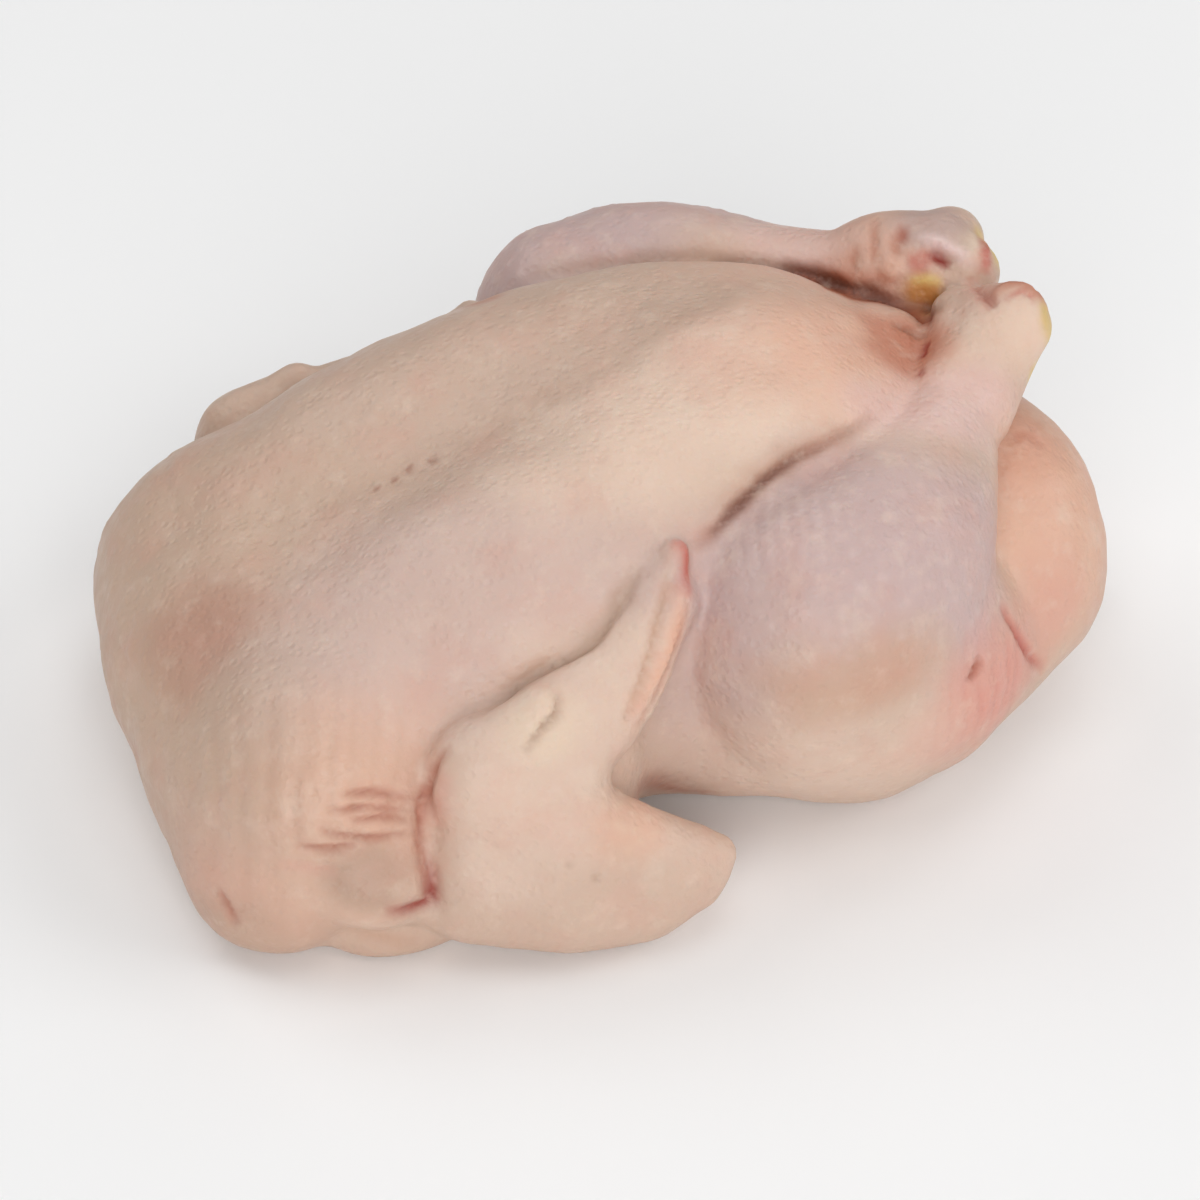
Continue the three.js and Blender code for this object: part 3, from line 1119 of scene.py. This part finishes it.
def breast_details() -> list[Detail]:
    """The breast's tints, the line of the keel with its follicles and painted shade along its groove, and
    painted shade in the hollow at the front.
    """
    keel = ((-88, -2, 63), (-64, 0, 71), (-29, -3, 83), (6, -1, 94.5), (36, 12, 95.5), (53, 19.5, 90))
    pits = [(-57.6, -1.8, 73.5), (-53.2, -1.7, 75), (-49.4, -1, 76.3), (-44.4, -2.6, 77.9)]
    return [
        Patch((-95, 0, 45), (50, 75, 34), Tone.OCHRE, 0.7),
        Patch((-50, -46, 68), (60, 32, 24), Tone.ROSY, 0.8),
        Patch((26, -24, 90), (42, 22, 22), Tone.PALE, 1.0, 0.6),
        Patch((10, -26, 90), (50, 18, 18), Tone.FAIR, 0.7, 0.7),
        Patch((48, -14, 90), (26, 20, 16), Tone.PEACH, 0.85, 0.6),
        Patch((54, 26, 86), (26, 18, 14), Tone.PEACH, 0.4, 0.6),
        Patch((70, -10, 84), (12, 13, 9), Tone.ORANGE, 0.95, 0.5),
        # painted shade in the hollow at the front
        Patch((-103, -12, 54), (15, 13, 15), Tone.HOLLOW_SHADE, 0.85, 0.7),
        # painted shade along the keel's shallow groove
        Fold(keel, 4.5, -0.3, Tone.SHADE, 5.0, 0.35),
        Patch((-13, 45, 84.5), (5, 4, 4), Tone.RUST, 0.6, 0.6),
        follicles((-20, -8, 84), (72, 12, 20), 4.6, 1.2, 0.32, 0.38, seed=21),
        follicles((-80, -18, 66), (26, 36, 16), 8.5, 1.3, 0.35, 0.45, seed=26),
        follicles((-20, 20, 84), (90, 14, 22), 8.0, 1.2, 0.3, 0.35, seed=27),
        *dots(pits, 0.9, Tone.BROWN, 0.7),
    ]


def neck_details() -> list[Detail]:
    """The wrinkled skin at the neck and the near shoulder, with painted shade in its folds, pleats and
    crevices and under its front.
    """
    folds = [
        ((-92, -70.5, 47.5), (-85, -72, 47), (-75.5, -72.5, 42.5)),
        ((-95.5, -71, 44), (-87, -72.5, 44), (-75.5, -73, 39.5)),
        ((-91, -72.5, 41.5), (-84, -73.5, 41), (-76, -74, 37.5)),
        ((-98, -71, 40), (-92, -73.5, 38.5), (-85, -75, 36.5), (-76, -74, 35)),
        ((-102.5, -70, 36.5), (-95.5, -73, 35.5), (-89.5, -74.5, 36.5)),
    ]
    crevice = (
        (-87, -80.6, 21.5),
        (-81, -80.8, 19.5),
        (-76, -80.2, 19.5),
        (-74.9, -79, 25),
        (-75, -76, 30),
    )
    foot = ((-117, -59, 21.5), (-116, -62.5, 17.5), (-115, -64.5, 13))
    flap = ((-92, -70.5, 8), (-85, -73.5, 7), (-76.5, -75.5, 4.5))
    skin = Patch((-104, -58, 44), (20, 22, 28), Tone.ROSY, 1.0, 0.6)
    near_wing = Patch((-86, -66, 50), (16, 14, 14), Tone.PEACH, 1.0, 0.6)
    return [
        Patch((-86, -66, 46), (18, 16, 20), Tone.PEACH, 0.5, 0.6),
        Patch((-100, -66, 22), (18, 18, 12), Tone.PEACH, 0.3, 0.6),
        Patch((-108, -52, 20), (16, 20, 16), Tone.PINK, 0.25, 0.6),
        Patch((-89, -77, 28.5), (9, 8, 8), Tone.BUMP, 0.9, 0.4),
        # painted shade in the troughs of both pleated areas
        Pleats(skin, ACROSS_THE_PICTURE, 6.5, 0.2, Tone.HOLLOW_SHADE, 0.16),
        Pleats(near_wing, ACROSS_THE_PICTURE, 4.2, 0.18, Tone.TAN, 0.25),
        Follicles(skin, 6.0, 1.3, 0.35, Tone.PALE, 0.35, seed=28),
        # painted shade under the front, low down
        Patch((-112, -66, 12), (16, 14, 8), Tone.SHADE, 0.45, 0.6),
        # painted shade in the shoulder's wrinkle folds
        *[Fold(fold, 1.1, -1.5, Tone.CREVICE_SHADE, 1.0, 0.65) for fold in folds],
        Fold(((-106, -67.5, 31), (-100, -71, 31), (-94, -74, 29.5)), 1.5, -0.5, Tone.PINK, 1.6, 0.4),
        # dark red crevice: partly the skin's own red, partly painted shade in the crease
        Fold(crevice, 2.0, -1.9, Tone.DARK_RED, 1.9, 1.0),
        # painted shade in the foot's crease and along the flap's edge
        Fold(foot, 1.1, -1.0, Tone.CREVICE_SHADE, 1.1, 0.6),
        Fold(flap, 1.3, -0.7, Tone.TAN, 1.8, 0.6),
    ]


def leg_details() -> list[Detail]:
    """Mauve drumsticks with pale follicles and streaks, and the tan and red skin of the near thigh, with
    painted shade along the near drumstick's edge by the crease and in the slit.
    """
    drumstick = Patch((34, -62, 66), (40, 26, 26), Tone.MAUVE, 0.95, 0.35)
    far_drumstick = Patch((30, 64, 70), (42, 26, 24), Tone.MAUVE, 0.95, 0.35)
    streaks = Patch((16, -60, 80), (15, 10, 9), Tone.MAUVE, 1.0, 0.6)
    red_skin = Patch((64, -75, 34), (22, 15, 14), Tone.RED_PINK, 0.75, 0.8)
    lip = (
        (67, -66.5, 50.6),
        (70.2, -68.1, 43.7),
        (75.6, -66.7, 34),
        (79, -64.4, 28.6),
        (82.5, -60.5, 23.5),
    )
    slit = ((58, -77.3, 45.2), (55.5, -79.2, 43.7), (52.8, -80.8, 42.1))
    by_crease = (
        (-3, -58, 73),
        (7.2, -56.3, 78.2),
        (19.4, -51.5, 81.8),
        (32.5, -46.5, 83.3),
        (46, -40, 83),
    )
    return [
        drumstick,
        far_drumstick,
        Patch((-2, -68, 50), (15, 14, 24), Tone.MAUVE, 0.6, 0.6),
        # painted shade: a darker mauve along the drumstick's edge by the crease
        Fold(by_crease, 1.0, 0.0, Tone.MAUVE_SHADE, 4.5, 0.9),
        Patch((66, -34, 82), (22, 12, 12), Tone.SHANK_PINK, 0.8, 0.6),
        Patch((64, 36, 86), (14, 14, 12), Tone.SHANK_PINK, 0.6, 0.6),
        Patch((12, -80, 28), (36, 20, 16), Tone.PALE, 0.7, 0.6),
        Patch((22, -86, 56), (24, 12, 9), Tone.TAN, 0.6, 0.6),
        Patch((30, -86, 53), (10, 8, 6), Tone.ORANGE, 0.2, 0.7),
        red_skin,
        Follicles(drumstick, 5.6, 1.2, 0.45, Tone.GOOSE, 0.5, seed=22),
        Follicles(far_drumstick, 5.6, 1.2, 0.45, Tone.GOOSE, 0.5, seed=23),
        Pleats(streaks, ACROSS_THE_PICTURE, 3.6, 0.2, Tone.GOOSE, 0.4),
        Pleats(red_skin, ACROSS_THE_PICTURE, 3.2, 0.16, Tone.RED, 0.14),
        Fold(lip, 1.3, -1.4, Tone.RED, 1.4, 0.95),
        # painted shade in the slit
        Fold(slit, 1.1, -1.4, Tone.CREVICE_SHADE, 1.3, 0.9),
    ]


def rear_details() -> list[Detail]:
    """The peach belly, and the redder skin around the vent and the tail."""
    return [
        Patch((92, -34, 48), (26, 30, 26), Tone.PEACH, 0.8, 0.5),
        Patch((92, 18, 42), (26, 26, 26), Tone.PEACH, 0.6, 0.5),
        Patch((88, -28, 63), (12, 12, 6), Tone.RUST, 0.35, 0.7),
        follicles((92, -34, 48), (26, 30, 26), 9.0, 1.3, 0.3, 0.3, seed=29),
        Patch((86, -56, 40), (8, 8, 10), Tone.PINK, 0.5, 0.6),
        Patch((116, -2, 28), (12, 16, 7), Tone.RED_PINK, 0.8, 0.6),
        Fold(((87.5, -29.5, 62), (92, -27, 61.5), (94.5, -31.5, 59.5)), 1.2, -0.6, Tone.RUST, 1.4, 0.5),
    ]


def wing_details() -> list[Detail]:
    """The near wing's cream skin, its creases with painted shade in them, the folded strip of its hand and
    its red tip.
    """
    front = (
        (-67.6, -72.8, 55.2),
        (-71.6, -72.7, 50.3),
        (-73.8, -72.2, 42.3),
        (-75.4, -74.5, 32),
        (-75, -79, 25),
    )
    top = ((-62, -68, 57), (-46, -62, 59), (-32, -63, 65), (-20.5, -57.5, 72), (-16, -54.5, 76.5))
    thumb = ((-42.2, -71, 61.7), (-44.6, -76.3, 59.5), (-48.2, -77.7, 57.8), (-54.2, -80.5, 54.3))
    fold = ((-10.5, -58.5, 79), (-16.5, -66, 70), (-23, -72.5, 60), (-30, -78, 52.5))
    strip = ((-9, -62, 74.5), (-16, -69.5, 63), (-27.5, -76.5, 53))
    under = ((-9.5, -63.5, 70.5), (-14.5, -69, 62), (-20, -72.5, 55), (-28, -78, 48))
    edge = ((-69.5, -76, 52), (-72, -76.5, 45), (-72, -74, 35))
    tip = ((-9, -55, 81), (-7, -57.5, 79), (-7.5, -60, 75), (-9.5, -63, 71))
    low_edge = ((-23, -69.8, 27.9), (-9.1, -60.4, 15.6), (0.4, -61.5, 12.6))
    elbow = Patch((-34, -86, 37), (14, 9, 11), Tone.PEACH, 1.0)
    hand = Patch((-24, -73, 58), (12, 10, 12), Tone.PEACH, 1.0)
    return [
        Patch((-56, -82, 40), (20, 14, 20), Tone.PALE, 0.8, 0.5),
        Patch((-32, -70, 60), (22, 14, 14), Tone.PALE, 0.8, 0.5),
        Patch((-48, -77, 58), (9, 8, 7), Tone.CREAM, 0.7, 0.5),
        Patch((-30, -88, 34), (10, 8, 8), Tone.PEACH, 0.6, 0.6),
        Fold(edge, 1.5, 0.0, Tone.PINK, 2.6, 0.6),
        Fold(strip, 1.9, 1.1, Tone.PEACH, 2.6, 0.95),
        # painted shade in the creases: under the strip, along the hand's fold, the front edge, the top edge
        # and the thumb
        Fold(under, 1.0, -0.8, Tone.RUST, 1.1, 0.5),
        Fold(fold, 1.1, -1.5, Tone.TAN, 1.1, 0.85),
        Fold(front, 1.4, -1.6, Tone.CREVICE_SHADE, 1.3, 0.85),
        Fold(top, 1.5, -1.3, Tone.SHADE, 2.2, 0.75),
        Fold(thumb, 1.1, -1.7, Tone.SHADE, 1.1, 0.95),
        Fold(tip, 1.2, 0.2, Tone.RED, 1.9, 0.95),
        # painted shade along the low edge where the wing meets the thigh
        Fold(low_edge, 1.0, 0.0, Tone.CREVICE_SHADE, 3.2, 0.6),
        Follicles(elbow, 3.4, 1.1, 0.6, Tone.CREAM, 0.5, seed=24),
        Follicles(hand, 3.6, 1.1, 0.45, Tone.CREAM, 0.45, seed=25),
        *dots([(-47.3, -90.6, 29.8), (-42.2, -92.4, 25.4)], 1.0, Tone.SHADE, 0.5, -0.3),
    ]


def far_hock_details() -> list[Detail]:
    """The far drumstick's cut end: its collar, grey knob, gristle and rim, and the hollow beside it, with
    painted shade in the wrinkles, creases, hollow and under the shank.
    """
    wrinkles = [
        ((73, 24, 91), (70.5, 20.5, 87.5), (70, 19, 84.5)),
        ((79.5, 28, 95), (76.5, 21.5, 93), (74.5, 17.5, 89)),
        ((75.5, 17, 88.5), (75.5, 14.5, 86.5), (78, 12.5, 86.5), (80.5, 12.5, 88.5)),
        ((81.5, 20, 95), (79.5, 17, 93), (80.5, 14.5, 91.5)),
    ]
    shaded_underside = ((62, 27, 85), (69, 20.4, 85.5), (74.1, 15.1, 86), (78.6, 10.8, 84.5))
    hollow = ((44, 42, 84), (60.5, 30, 84), (67.2, 21.6, 83.5), (71.4, 15.6, 83.5), (76.3, 10.5, 82.8))
    hollow_end = ((69, 18, 83.5), (74, 13, 83), (78, 7, 82.3), (80.5, 1, 83.5), (84, -5, 86))
    shank_fold = ((80.5, 10.8, 87.5), (84.7, 7.7, 88.5), (87, 5.5, 87.8))
    knob_crease = ((83.6, 21.5, 96), (82.4, 18.5, 95.2), (81.5, 16, 93.8))
    band = ((84.5, 16.3, 95.1), (87.7, 14, 95.4), (90.3, 10.8, 94.4), (92.7, 7, 93.3), (90.8, 5.6, 91.5))
    hole = ((85.7, 12.2, 93.6), (87.6, 9.3, 92.6), (89.2, 6.6, 91.3))
    inner_rim = ((98.5, 16, 93), (96.5, 9, 93.8), (94.5, 4.5, 92))
    rim = ((101.5, 17, 91.5), (98.9, 8.5, 93), (97.2, 4.9, 92.3), (95.5, 2.5, 90))
    return [
        Patch((79, 21, 90), (14, 13, 11), Tone.COLLAR, 0.65, 0.5),
        Patch((91, 20, 97), (10, 9, 5), Tone.GREY, 0.95, 0.4),
        # painted shade in the collar's wrinkles
        *[Fold(wrinkle, 1.2, -1.0, Tone.RUST, 1.2, 0.6) for wrinkle in wrinkles],
        Patch((78.3, 14.5, 89), (2.8, 2.8, 2.8), Tone.PEACH, 0.4, 0.5, 0.7),
        # painted shade under the shank, and warmed painted shade in the hollow below it
        Fold(shaded_underside, 1.0, 0.0, Tone.RUST, 2.4, 0.6),
        Patch((66, 21, 81.5), (20, 17, 4), Tone.WARM_SHADE, 0.9, 0.3),
        Patch((83.5, 7.5, 84), (5.2, 5.2, 5.5), Tone.GOLD, 0.95, 0.4),
        # painted shade under the gold fat and in the hollow beside the shank
        Patch((82.5, 6.5, 80), (4, 5, 3), Tone.BROWN, 0.8, 0.5),
        Fold(hollow, 1.7, -1.6, Tone.DEEP_SHADE, 1.8, 0.95),
        Fold(hollow_end, 1.6, -1.0, Tone.DEEP_SHADE, 2.0, 0.95),
        Fold(shank_fold, 1.0, 0.3, Tone.YELLOW, 1.1, 0.8),
        # painted shade in the knob's crease
        Fold(knob_crease, 1.2, -1.0, Tone.CREVICE_SHADE, 1.3, 0.8),
        Patch((83.8, 11.6, 91.7), (3.2, 2.6, 3), Tone.RED, 0.6, 0.5),
        Fold(band, 1.6, 0.9, Tone.GRISTLE, 1.9, 1.0),
        Fold(hole, 1.5, -2.2, Tone.DARK_RED, 1.5, 1.0),
        Fold(inner_rim, 1.1, 0.5, Tone.CREAM, 1.4, 0.9),
        Fold(rim, 1.4, 0.9, Tone.RED, 1.6, 1.0),
        Patch((102.8, 12, 90), (3.5, 7, 4.5), Tone.YELLOW, 0.95, 0.5),
    ]


def near_hock_details() -> list[Detail]:
    """The near drumstick's cut end with its rim, and the pit and the red specks beside its shank, with
    painted shade in its valley, its crease and the pit.
    """
    valley = ((93, 3.2, 90.2), (90, -6.4, 93.1), (89, -13, 94.2), (89.5, -16.5, 94.2))
    rim = (
        (90, -13.5, 94.5),
        (93, -12, 95.6),
        (96.8, -12.8, 95.7),
        (100, -16, 94.2),
        (101.5, -19, 91.5),
    )
    rim_line = ((91, -16.3, 94.8), (95.7, -15.8, 95.8), (98.8, -18, 94))
    specks = [(74.4, -10.9, 84), (72.8, -13.1, 83.5), (68.7, -20, 83.6)]
    faint_specks = [(63, -6, 86.5), (60, -12, 87.5), (57, -16, 88), (66, -9, 85.5)]
    return [
        Patch((93, -18, 87), (12, 10, 10), Tone.FAIR, 0.75, 0.6),
        Fold(valley, 1.5, -1.6, Tone.PINK, 2.4, 0.8),
        # painted shade along the valley's floor
        Fold(valley, 1.0, 0.0, Tone.CREVICE_SHADE, 0.9, 0.75),
        Fold(rim, 1.5, 1.0, Tone.RUST, 2.2, 1.0),
        Fold(rim_line, 0.9, -0.5, Tone.RED, 0.9, 0.7),
        Patch((100.6, -21.3, 89.5), (3, 3.2, 5), Tone.YELLOW, 0.8, 0.5),
        Patch((96.5, -23.5, 79), (4, 3.5, 3), Tone.YELLOW, 0.75, 0.5),
        # painted shade in the crease between the shanks
        Fold(((78, 9, 83.5), (80, 3, 82), (78, -7, 86)), 1.6, -0.8, Tone.CREVICE_SHADE, 1.8, 0.7),
        Patch((72.5, -8, 84), (4.5, 7, 4), Tone.RUST, 0.6, 0.6),
        # painted shade in the pit beside the shank
        Fold(((70, -1, 85), (73.5, -3.5, 84), (76.5, -7.5, 84)), 1.3, -1.2, Tone.BROWN, 1.4, 0.8),
        *dots(specks, 1.3, Tone.DARK_RED, 0.85, -0.3),
        *dots(faint_specks, 1.0, Tone.RUST, 0.6),
    ]


def crease_details() -> list[Detail]:
    """The creases where the drumsticks lie against the breast, darkened with painted shade."""
    near = (
        (-4, -55, 76.5),
        (3.5, -52.5, 79.5),
        (14, -48, 83.5),
        (25, -43.5, 86),
        (37, -40, 86),
        (52, -33, 85),
    )
    near_upper = ((-2, -52.5, 79.5), (13, -46.5, 84.5), (30, -40.5, 87), (44, -36, 86.5))
    darkest = ((1, -53.5, 78.5), (8.6, -50.5, 81.5), (19.3, -45.7, 84.9), (30, -42, 86))
    far = ((3, 58, 78.5), (27, 47.5, 84), (49, 39, 84), (60.5, 30, 84))
    return [
        # painted shade along and beside the creases
        Fold(near_upper, 1.0, 0.0, Tone.TAN, 3.4, 0.6),
        Fold(near, 1.6, -1.9, Tone.BROWN, 1.6, 0.85),
        Fold(darkest, 1.0, 0.0, Tone.DEEP_SHADE, 1.2, 0.7),
        Fold(far, 1.8, -1.2, Tone.SHADE, 2.6, 0.6),
    ]


# Pieces


def add_mesh(name: str, points: Array, faces: Array) -> bpy.types.Object:
    """A smooth-shaded object at the origin from points in millimetres.

    Args:
        name: the object's name.
        points: rows x, y, z in millimetres.
        faces: rows of point numbers, turned outward.

    Returns:
        The new object, linked into the scene.
    """
    mesh = bpy.data.meshes.new(name)
    mesh.from_pydata((points * MM).tolist(), [], faces.tolist())
    mesh.polygons.foreach_set("use_smooth", np.ones(len(faces), bool))
    mesh.update()
    made = bpy.data.objects.new(name, mesh)
    bpy.context.scene.collection.objects.link(made)
    return made


@dataclass(frozen=True)
class Skin:
    """The bird's whole skin, with its folds and tints."""

    bird: Bird = Bird()
    net: SkinNet = SkinNet()
    finish: SkinFinish = SkinFinish()
    unevenness: tuple[tuple[float, Wobble], ...] = (
        (0.3, Wobble(19.0, seed=3)),
        (0.08, Wobble(6.0, seed=4)),
    )
    relief_starts: tuple[float, float] = (0.5, 4.0)

    def details(self) -> list[Detail]:
        """Every detail, in the order in which the tints cover one another."""
        flesh = [*breast_details(), *neck_details(), *leg_details(), *rear_details(), *wing_details()]
        return [*flesh, *far_hock_details(), *near_hock_details(), *crease_details()]

    def dress(self, points: Array) -> tuple[Array, Array]:
        """The skin's rise at each point in millimetres, and its colour there, painted shade in creases and
        hollows included.
        """
        rise = sum(height * wobble.at(points) for height, wobble in self.unevenness)
        colour = np.tile(np.array(Tone.BEIGE.light()), (len(points), 1))
        for detail in self.details():
            near, lift, share = detail.lay(points, self.bird)
            rise[near] += lift
            colour[near] += share[:, None] * (np.array(detail.tone.light()) - colour[near])
        return rise, np.hstack([colour, np.ones((len(points), 1))])

    def fitted(self, points: Array) -> Array:
        """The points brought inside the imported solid's box, middle on middle."""
        low, high = (np.array(corner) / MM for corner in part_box(CHICKEN_NODE))
        own_low, own_high = points.min(axis=0), points.max(axis=0)
        scale = np.minimum(1.0, (high - low) / (own_high - own_low))
        middle, own_middle = (low + high) / 2.0, (own_low + own_high) / 2.0
        return (points - own_middle) * scale + middle

    def build(self) -> bpy.types.Object:
        """The skin as one closed mesh with its finish."""
        points, normals, faces = self.net.build(self.bird)
        rise, colour = self.dress(points)
        off_board = smooth_step(*self.relief_starts, points[:, 2])
        made = add_mesh("skin", self.fitted(points + normals * (rise * off_board)[:, None]), faces)
        tint = made.data.attributes.new("tint", "FLOAT_COLOR", "POINT")
        tint.data.foreach_set("color", colour.ravel())
        made.data.materials.append(self.finish.material())
        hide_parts(CHICKEN_NODE)
        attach(made, ROOT_BODY)
        return made


# The stage


def bearing(azimuth: float, elevation: float) -> Vector:
    """The direction toward a place in degrees round from -Y toward +X, and degrees up."""
    turn, lift = math.radians(azimuth), math.radians(elevation)
    return Vector((math.sin(turn) * math.cos(lift), -math.cos(turn) * math.cos(lift), math.sin(lift)))


@dataclass(frozen=True)
class Floor:
    """A plain white floor, far larger than the view."""

    half_side: float = 6000.0
    drop: float = 0.05

    def build(self) -> bpy.types.Object:
        """One flat square just under the bird."""
        corners = np.array([(-1, -1, 0), (1, -1, 0), (1, 1, 0), (-1, 1, 0)], float)
        points = corners * self.half_side - np.array((0.0, 0.0, self.drop))
        made = add_mesh("floor", points, np.array([[0, 1, 2, 3]]))
        made.data.materials.append(FloorFinish().material())
        return made


@dataclass(frozen=True)
class Lamp:
    """One large, soft square lamp that looks at the bird, placed by its bearing."""

    name: str
    azimuth: float
    elevation: float
    power: float
    distance: float = 3000.0
    side: float = 2000.0

    def build(self) -> None:
        """The lamp, at its distance from the origin."""
        light = bpy.data.lights.new(self.name, "AREA")
        light.size = self.side * MM
        light.energy = self.power
        made = bpy.data.objects.new(self.name, light)
        made.location = bearing(self.azimuth, self.elevation) * self.distance * MM
        made.rotation_mode = "QUATERNION"
        made.rotation_quaternion = (-made.location).to_track_quat("-Z", "Y")
        bpy.context.scene.collection.objects.link(made)


@dataclass(frozen=True)
class Studio:
    """Soft white light: the most from the camera's side, and less from the right, above and behind."""

    world_strength: float = 0.1
    lamps: tuple[Lamp, ...] = (
        Lamp("front", -22.0, 25.0, 52.0),
        Lamp("right", 62.0, 35.0, 28.0),
        Lamp("top", 0.0, 88.0, 18.0),
        Lamp("behind_right", 130.0, 45.0, 14.0),
        Lamp("behind", -150.0, 45.0, 24.0),
    )

    def build(self) -> None:
        """The world's faint light and the lamps."""
        world = bpy.data.worlds.new("studio")
        world.use_nodes = True
        background = world.node_tree.nodes["Background"]
        background.inputs["Color"].default_value = (1.0, 1.0, 1.0, 1.0)
        background.inputs["Strength"].default_value = self.world_strength
        bpy.context.scene.world = world
        for lamp in self.lamps:
            lamp.build()
        bpy.context.scene.view_settings.view_transform = "Standard"


@dataclass(frozen=True)
class PhotoCamera:
    """The photograph's camera, fitted to the bird's outline."""

    azimuth: float = -22.55
    elevation: float = 36.25
    distance: float = 1011.1
    target: Point = (-10.7, 0.0, 39.6)
    pixels_per_mm: float = 4.3068
    target_pixel: tuple[float, float] = (570.5, 560.3)
    frame_pixels: float = 1200.0
    sensor: float = 36.0
    clips: tuple[float, float] = (0.01, 100.0)

    def build(self) -> None:
        """The camera, looking at the target, with the shift that the photograph's framing needs."""
        back = bearing(self.azimuth, self.elevation)
        camera = bpy.data.cameras.new("photo_camera")
        camera.sensor_width = self.sensor
        camera.lens = self.sensor * self.distance * self.pixels_per_mm / self.frame_pixels
        camera.shift_x = (self.frame_pixels / 2.0 - self.target_pixel[0]) / self.frame_pixels
        camera.shift_y = (self.target_pixel[1] - self.frame_pixels / 2.0) / self.frame_pixels
        camera.clip_start, camera.clip_end = self.clips
        made = bpy.data.objects.new("photo_camera", camera)
        made.location = (Vector(self.target) + back * self.distance) * MM
        made.rotation_mode = "QUATERNION"
        made.rotation_quaternion = (-back).to_track_quat("-Z", "Y")
        bpy.context.scene.collection.objects.link(made)
        bpy.context.scene.camera = made


def main() -> None:
    """Builds the stage and the bird, piece by piece."""
    PhotoCamera().build()
    Studio().build()
    Floor().build()
    skin = Skin().build()
    log.info("%s: %d faces", skin.name, len(skin.data.polygons))


if __name__ == "__main__":
    logging.basicConfig(level=logging.INFO, format="%(name)s: %(message)s")
    main()
